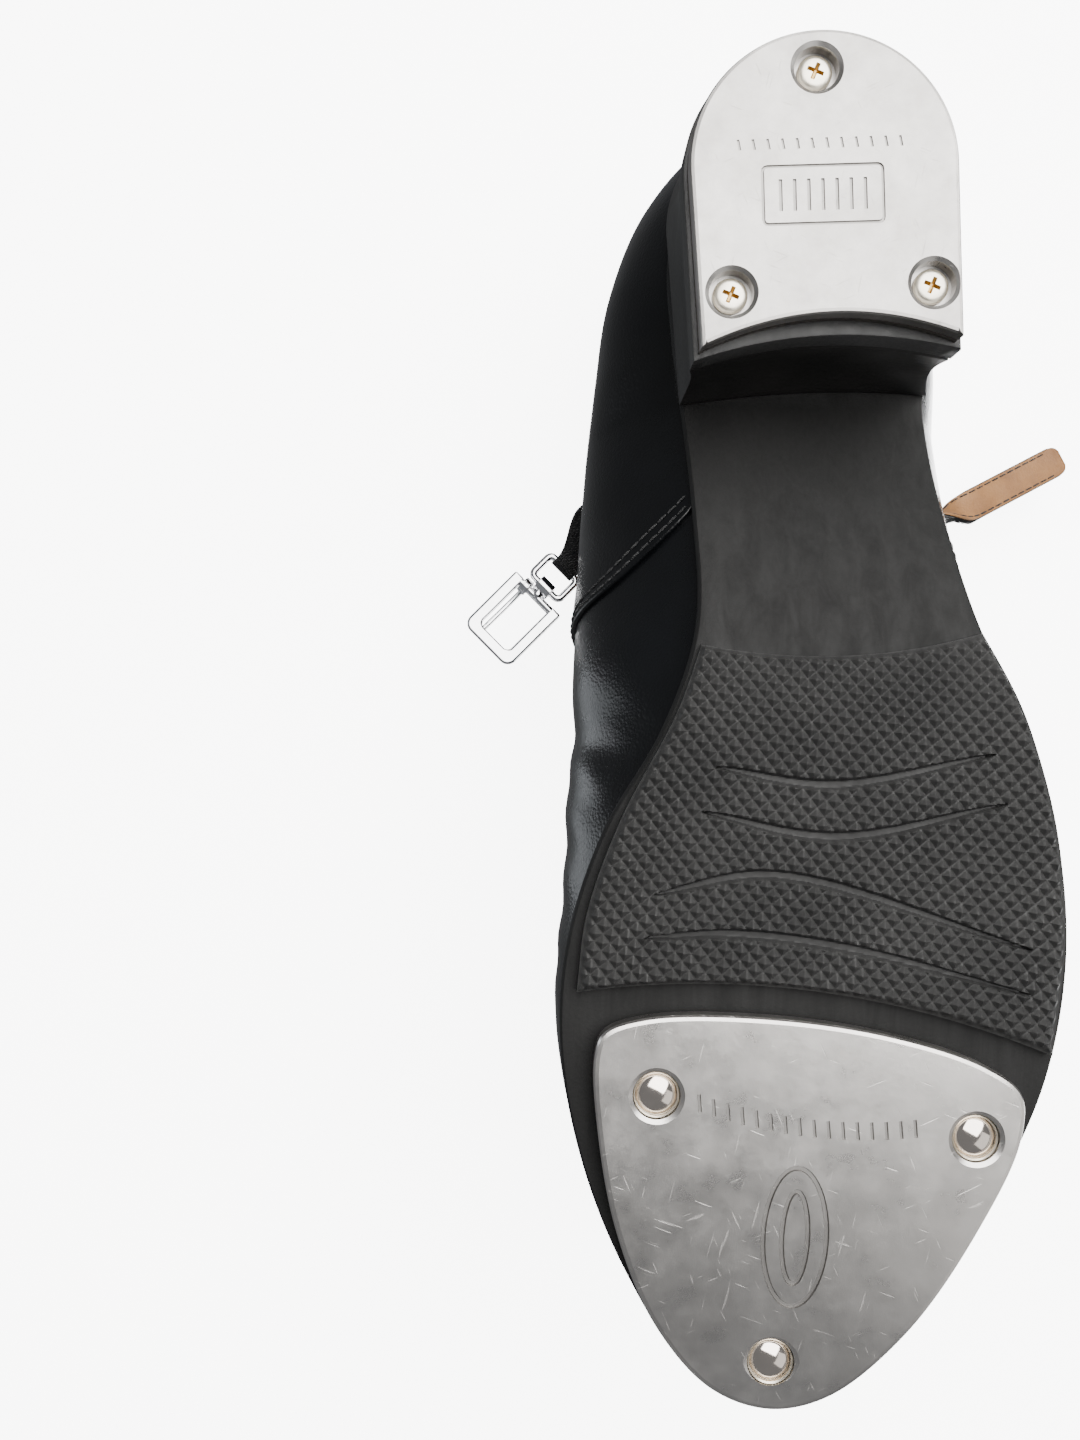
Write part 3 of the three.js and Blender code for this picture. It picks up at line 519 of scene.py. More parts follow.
SEAM_FOOT = 6.05
SEAM_TOP = 7.2
SOLE_THICKNESS = 3.5
SOLE_LEVEL = 4.6
SEAT_BACK, SEAT_BACK_HEIGHT = -34, 37.5
SEAT_FRONT, SEAT_FRONT_HEIGHT = 27, 31.5
SHANK_END = 92
SPRING_START = 165
SPRING_RUN = 46
SPRING_RISE = 3.6
TOE_END = 210


class Curve:
    """Centripetal Catmull-Rom curve through points of any dimension, u from 0 to 1."""

    def __init__(self, points, closed=False):
        self.p = np.array(points, float)
        self.closed = closed

    def at(self, u):
        p = self.p
        n = len(p)
        x = np.asarray(u, float) * (n if self.closed else n - 1)
        i = np.floor(x).astype(int)
        if self.closed:
            q = [p[(i + d) % n] for d in (-1, 0, 1, 2)]
        else:
            i = np.clip(i, 0, n - 2)
            longer = np.vstack([2 * p[0] - p[1], p, 2 * p[-1] - p[-2]])
            q = [longer[i + 1 + d] for d in (-1, 0, 1, 2)]
        w = (x - i)[..., None]
        d = [np.maximum(((b - a) ** 2).sum(-1) ** 0.25, 1e-4)[..., None] for a, b in zip(q, q[1:])]
        m1 = ((q[1] - q[0]) / d[0] - (q[2] - q[0]) / (d[0] + d[1]) + (q[2] - q[1]) / d[1]) * d[1]
        m2 = ((q[2] - q[1]) / d[1] - (q[3] - q[1]) / (d[1] + d[2]) + (q[3] - q[2]) / d[2]) * d[1]
        c2 = -3 * q[1] + 3 * q[2] - 2 * m1 - m2
        c3 = 2 * q[1] - 2 * q[2] + m1 + m2
        return q[1] + w * (m1 + w * (c2 + w * c3))

    def tangent(self, u):
        step = 1e-4
        u = np.asarray(u, float)
        t = self.at(u + step) - self.at(u - step)
        return unit(t)


def both_sides(rows, medial, lateral):
    return [medial(r) for r in rows] + [lateral(r) for r in reversed(rows[1:-1])]


EDGE = Curve(both_sides(STATIONS, lambda s: (s[0], s[1], s[4]), lambda s: (s[2], s[3], s[5])), True)
TOP_EDGE = Curve(both_sides(TOPLINE, lambda s: (s[0], s[2], s[3]), lambda s: (s[1], s[2], s[3])), True)
RIDGE = Curve(RIDGE_POINTS)


def smooth(low, high, x):
    t = np.clip((np.asarray(x, float) - low) / (high - low), 0, 1)
    return t * t * (3 - 2 * t)


def mix(a, b, t):
    return a + (b - a) * t


def sole_under(y):
    """Underside of the outsole: straight heel seat, curved shank, then level up to the toe spring."""
    y = np.asarray(y, float)
    seat_slope = (SEAT_FRONT_HEIGHT - SEAT_BACK_HEIGHT) / (SEAT_FRONT - SEAT_BACK)
    seat = SEAT_BACK_HEIGHT + seat_slope * (y - SEAT_BACK)
    run = SHANK_END - SEAT_FRONT
    t = np.clip((y - SEAT_FRONT) / run, 0, 1)
    leaving = SEAT_FRONT_HEIGHT * (2 * t**3 - 3 * t**2 + 1)
    slope = (seat_slope - 0.3) * run * (t**3 - 2 * t**2 + t)
    shank = leaving + slope + SOLE_LEVEL * (3 * t**2 - 2 * t**3)
    front = SOLE_LEVEL + toe_spring(y)
    return np.where(y <= SEAT_FRONT, seat, np.where(y < SHANK_END, shank, front))


def toe_spring(y):
    """How far the sole and the toe tap rise towards the tip."""
    t = np.maximum(0, (np.asarray(y, float) - SPRING_START) / SPRING_RUN)
    return SPRING_RISE * t * t


def sole_top(y):
    return sole_under(y) + SOLE_THICKNESS


def edge_at(k, inset):
    """Point, outward direction and bulge of the outsole's edge at station k."""
    u = np.mod(np.asarray(k, float) / LOOP, 1)
    p = EDGE.at(u)
    t = EDGE.tangent(u)
    t[..., 2] = 0
    t = unit(t)
    out = np.stack([-t[..., 1], t[..., 0], np.zeros_like(u)], -1)
    bulge = p[..., 2]
    at = p.copy()
    at[..., 2] = 0
    return at - out * inset, out, bulge


def top_at(k):
    """Top edge of the upper at station k, and in front of the opening the ridge of the vamp."""
    side = np.where(k <= TOE, k, LOOP - k)
    u = side / (2 * THROAT)
    u = np.where(k <= TOE, u, np.mod(1 - u, 1))
    line = TOP_EDGE.at(np.where(side >= THROAT, 0, u))
    ridge = RIDGE.at(np.clip((side - THROAT) / (TOE - THROAT), 0, 1))
    return np.where((side >= THROAT)[..., None], ridge, line)


FRONT_RISE, WALL_RISE = 0.5, 0.34
FRONT_REACH = 0.56
WALL_BULGE = 0.36


def upper_at(k, v):
    """Outer face of the upper, in millimetres, as in the CAD solids.

    It is a cubic from the foot to the top edge. The wall beside the opening stands steeper
    than the front, whose upper control point reaches out over the foot.
    """
    k, v = np.broadcast_arrays(np.asarray(k, float), np.asarray(v, float))
    turn = np.mod(k, LOOP)
    foot, out, bulge = edge_at(turn, FEATHER_INSET)
    foot[..., 2] = sole_top(foot[..., 1]) + FOOT_GAP
    top = top_at(turn)
    side = np.where(turn <= TOE, turn, LOOP - turn)
    rise = (top - foot)[..., 2]
    wall = 1 - smooth(6.5, 9.6, side)
    lower = foot + out * bulge[..., None]
    lower[..., 2] += rise * mix(FRONT_RISE, WALL_RISE, wall)
    reach = foot - top
    reach[..., 2] = 0
    upper = top + reach * (mix(FRONT_REACH, 0.0, wall))[..., None]
    upper += out * (wall * bulge * WALL_BULGE)[..., None]
    upper[..., 2] -= wall * rise * WALL_RISE
    w = v[..., None]
    return (
        foot * (1 - w) ** 3 + lower * 3 * w * (1 - w) ** 2
        + upper * 3 * w**2 * (1 - w) + top * w**3
    )


def upper_normal(k, v):
    """Outward direction of the upper, taken just inside its foot and its top edge."""
    step = 2e-3
    v = np.clip(v, 0.003, 0.995)
    along = upper_at(k + step, v) - upper_at(k - step, v)
    high = np.minimum(v + step, 1)
    rise = upper_at(k, high) - upper_at(k, high - 2 * step)
    normal = np.cross(rise, along)
    return normal / np.maximum(np.linalg.norm(normal, axis=-1), 1e-9)[..., None]


def seam_at(v):
    """Station of the seam between the quarters and the vamp."""
    return mix(SEAM_FOOT, SEAM_TOP, np.maximum(0, v) ** 0.8)


# ---- leather upper
def creases(k, v):
    """Depth of the wear creases in the upper, in millimetres, outwards."""
    p = upper_at(k, v)
    ball = smooth(84, 100, p[..., 1]) * (1 - smooth(132, 150, p[..., 1]))
    across = np.sin(p[..., 1] * 0.62 + 1.7 * np.sin(p[..., 0] * 0.09) + v * 5)
    soft = np.sin(p[..., 0] * 0.21 + p[..., 1] * 0.13) * np.sin(p[..., 1] * 0.17 - v * 7)
    wide = smooth(0.02, 0.2, v) * (1 - smooth(0.8, 0.97, v))
    return wide * (ball * across * 0.22 + soft * 0.08)


FULL_FRONT = 3.3
FULL_WAIST = 6.0


def fullness(k, v):
    """How far the inner side of the vamp stands out beyond the solids, in millimetres."""
    turn = np.mod(k, LOOP)
    front = smooth(8.6, 10.2, turn) * (1 - smooth(13.6, 14.9, turn))
    waist = smooth(6.4, 8.0, turn) * (1 - smooth(8.6, 10.2, turn))
    return (FULL_FRONT * front + FULL_WAIST * waist) * np.sin(np.pi * np.clip(v, 0, 1)) ** 1.2


def skin(k, v, lift):
    """Point of the finished leather, lift above the outer face of the solids."""
    push = creases(k, v) + fullness(k, v) + lift
    return upper_at(k, v) + upper_normal(k, v) * push[..., None]


def shell(name, bounds, v0, v1, columns, rows, thickness, material, lift=0.0, inside=False, **more):
    """Leather or lining between two bounds, each a function of v. A lining's foot is turned in."""
    v = np.linspace(v0, v1, rows)[None, :]
    s = np.linspace(0, 1, columns)[:, None]
    k = bounds[0](v) + (bounds[1](v) - bounds[0](v)) * s
    v = np.broadcast_to(v, k.shape)
    if inside:
        p = upper_at(k, v) + upper_normal(k, v) * lift
        foot, _, _ = edge_at(np.mod(k[:, 0], LOOP), 9.0)
        foot[:, 2] = sole_top(foot[:, 1]) + 5.0
        middle = (foot + p[:, 0]) / 2
        middle[:, 2] = mix(foot[:, 2], p[:, 0, 2], 0.2)
        p = np.concatenate([foot[:, None], middle[:, None], p], 1)
        rows += 2
    else:
        p = skin(k, v, lift)
    obj = piece(name, p.reshape(-1, 3) * MM, grid_faces(columns, rows), material, **more)
    clean(obj)
    solidify(obj, thickness * MM)
    return obj


RIDGE_START, RIDGE_FULL, RIDGE_END = 119, 127, 196
RIDGE_HALF = 17
RIDGE_LOW = 22


def soften(obj, low, high, rounds):
    """Evens out the mesh over the ridge of the vamp, less and less from low to high off its middle."""
    ridge = obj.vertex_groups.new(name="ridge")
    for vertex in obj.data.vertices:
        x, y, z = (c / MM for c in vertex.co)
        if RIDGE_START < y < RIDGE_END and abs(x) < RIDGE_HALF and z > RIDGE_LOW:
            share = (1 - smooth(low, high, abs(x))) * smooth(RIDGE_START, RIDGE_FULL, y)
            ridge.add([vertex.index], float(share), "REPLACE")
    modifier = obj.modifiers.new("soften", "SMOOTH")
    modifier.factor = 0.5
    modifier.iterations = rounds
    modifier.vertex_group = "ridge"
    bpy.context.view_layer.update()
    with bpy.context.temp_override(object=obj):
        bpy.ops.object.modifier_move_to_index(modifier="soften", index=0)


def quarter_edge(v):
    """Station of the front edge of the quarters, which lie over the vamp."""
    return mix(5.9, 7.6, np.maximum(0, v) ** 0.8)


vamp = shell(
    "leather_vamp", (lambda v: seam_at(v) - 0.45, lambda v: LOOP - seam_at(v) + 0.45),
    0.0, 1.0, 190, 40, LEATHER_THICKNESS, LEATHER, node="vamp", slot="black_leather",
)
soften(vamp, 6, 16, 14)
for side, quarter in {
    "medial": (lambda v: 0 * v + 0.02, quarter_edge),
    "lateral": (lambda v: LOOP - quarter_edge(v), lambda v: 0 * v + LOOP - 0.02),
}.items():
    shell(
        "leather_quarter_" + side, quarter, 0.0, 1.0, 90, 44, LEATHER_THICKNESS, LEATHER,
        lift=QUARTER_LIFT, node="quarter_" + side, slot="black_leather",
    )
shell(
    "leather_backstay", (lambda v: LOOP - 0.44 + 0.1 * v, lambda v: LOOP + 0.44 - 0.1 * v),
    0.02, 0.985, 14, 50, BACKSTAY_THICKNESS, LEATHER, lift=2.0, node="backstay",
    slot="black_leather",
)
shell(
    "lining_vamp", (lambda v: seam_at(v) - 0.3, lambda v: LOOP - seam_at(v) + 0.3),
    0.08, 0.985, 130, 26, LINING_THICKNESS, TAN, lift=-LINING_DEPTH, inside=True,
    node="vamp_lining", slot="tan_lining",
)
shell(
    "lining_quarter", (lambda v: -seam_at(v), lambda v: seam_at(v)),
    0.08, 0.985, 120, 26, LINING_THICKNESS, TAN, lift=-LINING_DEPTH + 0.3, inside=True,
    node="quarter_lining", slot="tan_lining",
)


def thread_run(points, normals, length, gap, radius):
    """Stitches along a line of points: short round capsules, half sunk in the leather."""
    p = np.array(points)
    n = np.array(normals)
    at = np.concatenate([[0], np.cumsum(np.linalg.norm(np.diff(p, axis=0), axis=1))])
    parts = []
    start = gap
    while start + length < at[-1]:
        s = start + np.array([0, 0.5, 1.0]) * length
        line = np.stack([np.interp(s, at, p[:, i]) for i in range(3)], 1)
        out = np.stack([np.interp(s, at, n[:, i]) for i in range(3)], 1)
        out = unit(out)
        line += out * (np.array([-0.25, 0.35, -0.25]) * radius)[:, None]
        parts.append(tube(line, radius * rng.uniform(0.92, 1.08), 6))
        start += length + gap
    return parts


def on_upper(k_of, v, lift):
    """Points on the leather and their outward directions along a line k of v."""
    k = k_of(v)
    return skin(k, v, lift) * MM, upper_normal(k, v)


# Length, gap and radius of the stitches, in metres.
QUARTER_STITCH = (0.0019, 0.0006, 0.00023)
FINE_STITCH = (0.0018, 0.0005, 0.0002)
STRAP_STITCH = (0.0017, 0.0007, 0.00017)
ELASTIC_STITCH = (0.0016, 0.0006, 0.00018)
stitches = []
rise = np.linspace(0.02, 0.965, 160)
for inset in (0.07, 0.17):
    for side in (1, -1):
        place = (lambda v, i=inset, s=side: np.mod(s * (quarter_edge(v) - i), LOOP))
        stitches += thread_run(*on_upper(place, rise, 0.98), *QUARTER_STITCH)
for side in (1, -1):
    place = (lambda v, s=side: np.mod(s * (0.3 - 0.08 * v), LOOP))
    stitches += thread_run(*on_upper(place, np.linspace(0.05, 0.95, 120), 2.02), *FINE_STITCH)
for side in (1, -1):
    span = np.linspace(0.45, SEAM_TOP - 0.5, 260)
    k = np.mod(side * span, LOOP)
    v = np.full_like(k, 0.955)
    stitches += thread_run(skin(k, v, 0.98) * MM, upper_normal(k, v), *FINE_STITCH)
piece("stitching_upper", *joined(stitches), THREAD, slot="black_leather")


def binding():
    """Soft tape wrapped over the top edge of the leather and its lining."""
    columns = 300
    k = np.concatenate([
        np.linspace(0, THROAT, columns // 2, endpoint=False),
        np.linspace(LOOP - THROAT, LOOP, columns // 2, endpoint=False),
    ])
    top = top_at(k)
    lower = upper_at(k, np.full_like(k, 0.93))
    along = np.roll(top, -1, 0) - np.roll(top, 1, 0)
    along = unit(along)
    down = lower - top
    down -= along * (down * along).sum(1)[:, None]
    down = unit(down)
    out = np.cross(-down, along)
    section = [
        (1.45, 2.6), (1.7, 1.9), (1.75, 0.9), (1.6, -0.2), (1.1, -1.0), (0.2, -1.5), (-0.9, -1.75),
        (-2.0, -1.7), (-3.0, -1.4), (-3.9, -0.7), (-4.2, 0.3), (-4.2, 1.5), (-4.0, 2.6),
    ]
    rows = []
    for i, (width, fall) in enumerate(section):
        jitter = 0.05 * np.sin(np.arange(columns) * 1.7 + i * 2.1)
        rows.append(top + out * (width + jitter)[:, None] + down * fall)
    verts = np.stack(rows, 1).reshape(-1, 3) * MM
    faces = grid_faces(columns, len(section), wrap_rows=True)
    obj = piece("binding_topline", verts, faces, TAPE, node="topline_binding", slot="black_leather")
    solidify(obj, 0.0007, 0)


binding()


# ---- sole
def edge_plate(name, count, profile, height, levels, material, **more):
    """Plate inside the outsole's edge, its faces cut into rows so that its bends stay smooth.

    profile is (inset from the edge, level) and height(y, level) gives Z, in millimetres.
    """
    k = np.linspace(0, LOOP, count, endpoint=False)
    rings = []
    for inset, level in profile:
        at, _, _ = edge_at(k, inset)
        at[:, 2] = height(at[:, 1], level)
        rings.append(at * MM)
    verts = [p for ring in rings for p in ring]
    faces = grid_faces(len(rings), count, wrap_columns=True)
    half = count // 2
    for end in (0, len(rings) - 1):
        ring = rings[end]
        grid = []
        for i in range(half + 1):
            row = [end * count + i]
            for j in range(1, levels):
                if i in (0, half):
                    row.append(end * count + i)
                    continue
                q = ring[i] + (ring[-i] - ring[i]) * j / levels
                verts.append((q[0], q[1], float(height(q[1] / MM, profile[end][1])) * MM))
                row.append(len(verts) - 1)
            row.append(end * count + (count - i) % count)
            grid.append(row)
        for low, high in zip(grid, grid[1:]):
            for j in range(levels):
                face = tuple(dict.fromkeys([low[j], low[j + 1], high[j + 1], high[j]]))
                if len(face) > 2:
                    faces.append(face)
    return outward(piece(name, verts, faces, material, **more))


edge_plate(
    "outsole_rubber", 360, [
        (1.2, 0.0), (0.45, 0.04), (0.1, 0.18), (0.0, 0.4), (0.0, 0.66), (0.12, 0.84), (0.5, 0.97),
        (1.6, 1.0),
    ], lambda y, share: sole_under(y) + SOLE_THICKNESS * share, 14, SOLE, node="outsole",
    slot="rubber_sole",
)

PAD_MEDIAL = [(-18.4, 77.6), (-22.6, 90), (-31.6, 109), (-36.6, 125), (-37.8, 138.4)]
PAD_LATERAL = [(31, 73.6), (37.6, 88), (43.6, 107), (45.8, 126), (44.4, 146)]
GROOVES = [
    [(-15.5, 98.7), (4.7, 100.9), (32, 94.7)],
    [(-17.6, 106.5), (5.5, 109.8), (34.4, 103.1)],
    [(-25.2, 121), (-4.8, 116.8), (39.6, 127.8)],
    [(-26.6, 128.5), (-11.4, 127.2), (8.7, 128.9), (39.4, 135.5)],
]
PYRAMID_ACROSS = 2.8
PYRAMID_ALONG = 2.9
PYRAMID_TILT = radians(5)
PYRAMID_HEIGHT = 0.85
GROOVE_HALF = 0.75
GROOVE_DEPTH = 0.75
PAD_LENGTH, PAD_WIDTH = 68, 74
PAD_SHOULDER = 1.3
PAD_FACE = 1.2


def line_distance(x, y, points):
    """Distance from each place to a curve and how far along the curve it is."""
    curve = Curve(points).at(np.linspace(0, 1, 60))
    best = np.full(x.shape, 1e9)
    along = np.zeros(x.shape)
    for i, (a, b) in enumerate(zip(curve, curve[1:])):
        dx, dy = b[0] - a[0], b[1] - a[1]
        t = np.clip(((x - a[0]) * dx + (y - a[1]) * dy) / (dx * dx + dy * dy), 0, 1)
        d = np.hypot(x - a[0] - t * dx, y - a[1] - t * dy)
        closer = d < best
        best = np.where(closer, d, best)
        along = np.where(closer, (i + t) / 59, along)
    return best, along


def tread_height(x, y):
    """Height of the pad's face over the valleys of its pyramids, below zero in the grooves."""
    u = x * cos(PYRAMID_TILT) + y * sin(PYRAMID_TILT)
    w = y * cos(PYRAMID_TILT) - x * sin(PYRAMID_TILT)
    a = u / PYRAMID_ACROSS + w / PYRAMID_ALONG
    b = u / PYRAMID_ACROSS - w / PYRAMID_ALONG
    tip = np.minimum(1 - np.abs(2 * (a % 1) - 1), 1 - np.abs(2 * (b % 1) - 1))
    height = PYRAMID_HEIGHT * np.minimum(tip, 0.86) / 0.86
    for groove in GROOVES:
        distance, along = line_distance(x, y, groove)
        half = GROOVE_HALF * np.sqrt(np.clip(4 * along * (1 - along), 0.02, 1))
        cut = 1 - smooth(half * 0.6, half * 1.5, distance)
        height = mix(height, -GROOVE_DEPTH, cut)
    return height


def tread_pad():
    """Face of small pyramids cut by the flex grooves, with a rounded shoulder round its rim."""
    rows, columns = ((330, 360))
    s = np.linspace(0, 1, rows)[:, None]
    w = np.linspace(0, 1, columns)[None, :]
    a = Curve(PAD_MEDIAL).at(s[:, 0])[:, None, :]
    b = Curve(PAD_LATERAL).at(s[:, 0])[:, None, :]
    p = a + (b - a) * w[..., None]
    y = p[..., 1] + mix(3, -5.6, s) * 4 * w * (1 - w)
    x = p[..., 0]
    rim = np.minimum(np.minimum(s, 1 - s) * PAD_LENGTH, np.minimum(w, 1 - w) * PAD_WIDTH)
    shoulder = smooth(0.0, PAD_SHOULDER, rim)
    level = PAD_FACE + sole_under(y) - SOLE_LEVEL + PYRAMID_HEIGHT
    bottom = level - tread_height(x, y) * shoulder + (1 - shoulder) * 0.7
    top = sole_under(y) + 0.1
    low = np.stack([x, y, bottom], -1).reshape(-1, 3)
    high = np.stack([x, y, top], -1).reshape(-1, 3)
    verts = np.concatenate([low, high]) * MM
    n = rows * columns
    faces = grid_faces(rows, columns)
    faces += [tuple(n + i for i in reversed(f)) for f in grid_faces(rows, columns)]
    border = list(range(columns))
    border += [i * columns + columns - 1 for i in range(1, rows)]
    border += [(rows - 1) * columns + j for j in range(columns - 2, -1, -1)]
    border += [i * columns for i in range(rows - 2, 0, -1)]
    for i, j in zip(border, border[1:] + border[:1]):
        faces.append((i, n + i, n + j, j))
    outward(piece(
        "tread_pad_rubber", verts, faces, TREAD, node="tread_pad", slot="rubber_tread", smooth=28,
    ))


tread_pad()


# ---- taps
HEEL_TURN = radians(-5)
HEEL_SCREWS = {"back": (-1.8, -20.8), "medial": (-18, 16.6), "lateral": (16.4, 16.6)}
TOE_RIVETS = {"medial": (-23.6, 154.8), "lateral": (30.9, 159.9), "tip": (-1.9, 200.5)}


def heel_turned(x, y):
    c, s = cos(HEEL_TURN), sin(HEEL_TURN)
    return x * c - y * s, x * s + y * c


def heel_outline(width, front_width, front, back, centre, hollow):
    """Straight sides, half-round back and hollow front, turned with the heel."""
    radius = width / 2
    middle = back + radius
    points = arc(centre, middle, radius, 180, 180, 80)
    half = front_width / 2
    for t in (i / 15 for i in range(1, 16)):
        points.append((centre + mix(radius, half, t), mix(middle, front, t)))
    for t in (i / 40 for i in range(1, 40)):
        points.append((centre + mix(half, -half, t), front - hollow * 4 * t * (1 - t)))
    for t in (i / 15 for i in range(15)):
        points.append((centre - mix(half, radius, t), mix(front, middle, t)))
    return np.array([heel_turned(*p) for p in points])


TAP_OUTLINE = heel_outline(45.8, 44.6, 25.6, -27.4, -1.2, 4.8)
LIFT_OUTLINE = heel_outline(47.4, 46.6, 26.6, -28.4, -1.0, 3.4)
SEAT_OUTLINE = heel_outline(50.4, 49.4, 27.2, -33.4, 1.0, 1.6)


def plate_rings(outline, levels):
    """levels are (inset, height function or number): rings of an extruded plate, metres."""
    closing = np.roll(outline, -1, 0) - np.roll(outline, 1, 0)
    closing = unit(closing)
    inward = np.stack([-closing[:, 1], closing[:, 0]], 1)
    centre = outline.mean(0)
    if ((centre - outline) * inward).sum() < 0:
        inward = -inward
    rings = []
    for inset, z in levels:
        at = outline + inward * inset
        height = z(at) if callable(z) else np.full(len(at), z)
        rings.append(np.column_stack([at, height]) * MM)
    return rings


def block_between(points, low, high, half, closed=False, lift=None):
    """A thin upright blade along a line of points, as a cutter in metres."""
    p = np.array(points, float)
    t = np.roll(p, -1, 0) - np.roll(p, 1, 0) if closed else np.gradient(p, axis=0)
    t = unit(t)
    side = np.stack([-t[:, 1], t[:, 0]], 1) * half
    rings = []
    for q, s in zip(p, side):
        up = float(lift(q[1])) if lift else 0.0
        rings.append(np.array([
            (*(q - s), low + up), (*(q + s), low + up), (*(q + s * 0.45), high + up),
            (*(q - s * 0.45), high + up),
        ]) * MM)
    if closed:
        return list(np.concatenate(rings)), grid_faces(len(rings), 4, True, True)
    return rings_mesh(rings)


def counterbore(x, y, mouth, hole, floor, through, base=0.0):
    """Cutter of a chamfered hole that steps down from its mouth to a narrower one."""
    return lathe_solid([
        (mouth + 0.75, base - 1), (mouth + 0.75, base - 0.02), (mouth, base + 0.42),
        (mouth - 0.06, floor), (hole, floor + 0.01), (hole, through),
    ], x, y)


def heel_tap():
    """Plate with three recessed holes and shallow generic marks."""
    levels = [(0.75, 0.0), (0.25, 0.14), (0.0, 0.5), (0.0, 2.8), (0.25, 3.0)]
    obj = solid(
        "heel_tap_plate", plate_rings(TAP_OUTLINE, levels), HEEL_TAP, node="heel_tap",
        slot="aluminium_tap",
    )
    # The counterbores take the darker aluminium, painted shade in the recessed holes.
    carve(obj, [
        counterbore(*heel_turned(x, y), 3.85, 1.8, 2.55, 4.0) for x, y in HEEL_SCREWS.values()
    ], RECESS_PAINTED_SHADE)
    centre = Vector((-1.7, 0.9))
    turn = Matrix.Rotation(radians(-4), 2)

    def place(x, y):
        q = turn @ Vector((x, y)) + centre
        return (q.x, q.y)

    border = [place(*p) for p in rounded(-10.2, 10.2, -4.9, 4.9, 0.8, 3)]
    marks = [block_between(border, -0.5, 0.3, 0.42, closed=True)]
    for i in range(7):
        x = -7.2 + i * 2.4
        marks.append(block_between([place(x, -2.7), place(x, 2.7)], -0.5, 0.3, 0.46))
    for i in range(12):
        x = -14.2 + i * 2.5
        marks.append(block_between([place(x, -9.6), place(x + 0.3, -7.8)], -0.5, 0.24, 0.36))
    # The marks take the darker aluminium, painted shade in the grooves.
    carve(obj, marks, GROOVE_PAINTED_SHADE, smooth=8)


heel_tap()


def toe_level(z):
    """Height that follows the toe spring."""
    return lambda at: toe_spring(at[:, 1]) + z


TOE_TAP_CURVE = [
    (-34.4, 149), (-33.4, 161), (-29.6, 178), (-22.2, 194.5), (-11.8, 206), (-1.5, 209.4),
    (8.6, 206.5), (21, 194.3), (32.4, 175), (38.6, 160), (38.4, 152.2), (32, 147.6), (15, 142.9),
    (-7, 140.8), (-26, 141.8), (-33, 144.6),
]


def curved_plate(name, outline, levels, material, **more):
    """Plate whose faces follow the toe spring: its bottom and top are cut into rows."""
    rings = plate_rings(outline, levels)
    verts, faces = rings_mesh(rings)
    obj = piece(name, verts, faces[:-2], material, **more)
    count = len(outline)
    bm = bmesh.new()
    bm.from_mesh(obj.data)
    bm.verts.ensure_lookup_table()
    for ring in (0, len(rings) - 1):
        bm.faces.new([bm.verts[ring * count + i] for i in range(count)])
        for cut in range(SPRING_START + 1, TOE_END, 3):
            pieces = [f for f in bm.faces if len(f.verts) > 4]
            lines = {e for f in pieces for e in f.edges} | {v for f in pieces for v in f.verts}
            bmesh.ops.bisect_plane(
                bm, geom=list(lines) + pieces, plane_co=(0, cut * MM, 0), plane_no=(0, 1, 0),
            )
            bm.verts.ensure_lookup_table()
    bm.to_mesh(obj.data)
    bm.free()
    return outward(obj)


def toe_tap():
    """Curved plate with three recessed holes and shallow generic marks."""
    outline = Curve(TOE_TAP_CURVE, True).at(np.linspace(0, 1, 220, endpoint=False))
    levels = [
        (inset, toe_level(z))
        for inset, z in ((0.9, 0.0), (0.3, 0.14), (0.0, 0.6), (0.0, 2.8), (0.2, 3.0))
    ]
    obj = curved_plate("toe_tap_plate", outline, levels, TOE_TAP, node="toe_tap", slot="aluminium_tap")
    cutters = []
    for x, y in TOE_RIVETS.values():
        base = float(toe_spring(y))
        cutters.append(counterbore(x, y, 4.1, 1.9, base + 1.65, base + 4.5, base))
    carve(obj, cutters)
    marks = []
    for i in range(16):
        x = -16.5 + i * 2.45
        y = 156.3 + 0.075 * (x + 17) - 0.006 * (x - 2) ** 2 + 1.4
        marks.append(block_between([(x, y - 1.5), (x + 0.35, y + 1.5)], -0.5, 0.3, 0.46))
    for reach, wide in ((12.0, 5.4), (8.0, 2.2)):
        circle = arc(0, 0, 1, 0, 352.5, 47)
        oval = [(0.8 + wide * x, 178 + reach * y) for x, y in circle]
        marks.append(block_between(oval, -0.5, 0.34, 0.66, closed=True, lift=toe_spring))
    # The marks take the darker aluminium, painted shade in the grooves.
    carve(obj, marks, GROOVE_PAINTED_SHADE, smooth=8)


toe_tap()


def cross_cutter(x, y, z, arm, half, depth):
    """Phillips recess, as two crossed tapering blades."""
    parts = []
    for turn in (0.35, 0.35 + pi / 2):
        c, s = cos(turn), sin(turn)
        rings = []
        for level, share in ((z - 0.6, 1.12), (z + depth, 0.42)):
            corners = [(-arm, -half), (arm, -half), (arm, half), (-arm, half)]
            rings.append(np.array([
                (x + (u * c - w * s) * share, y + (u * s + w * c) * share, level) for u, w in corners
            ]) * MM)
        parts.append(rings_mesh(rings))
    return parts


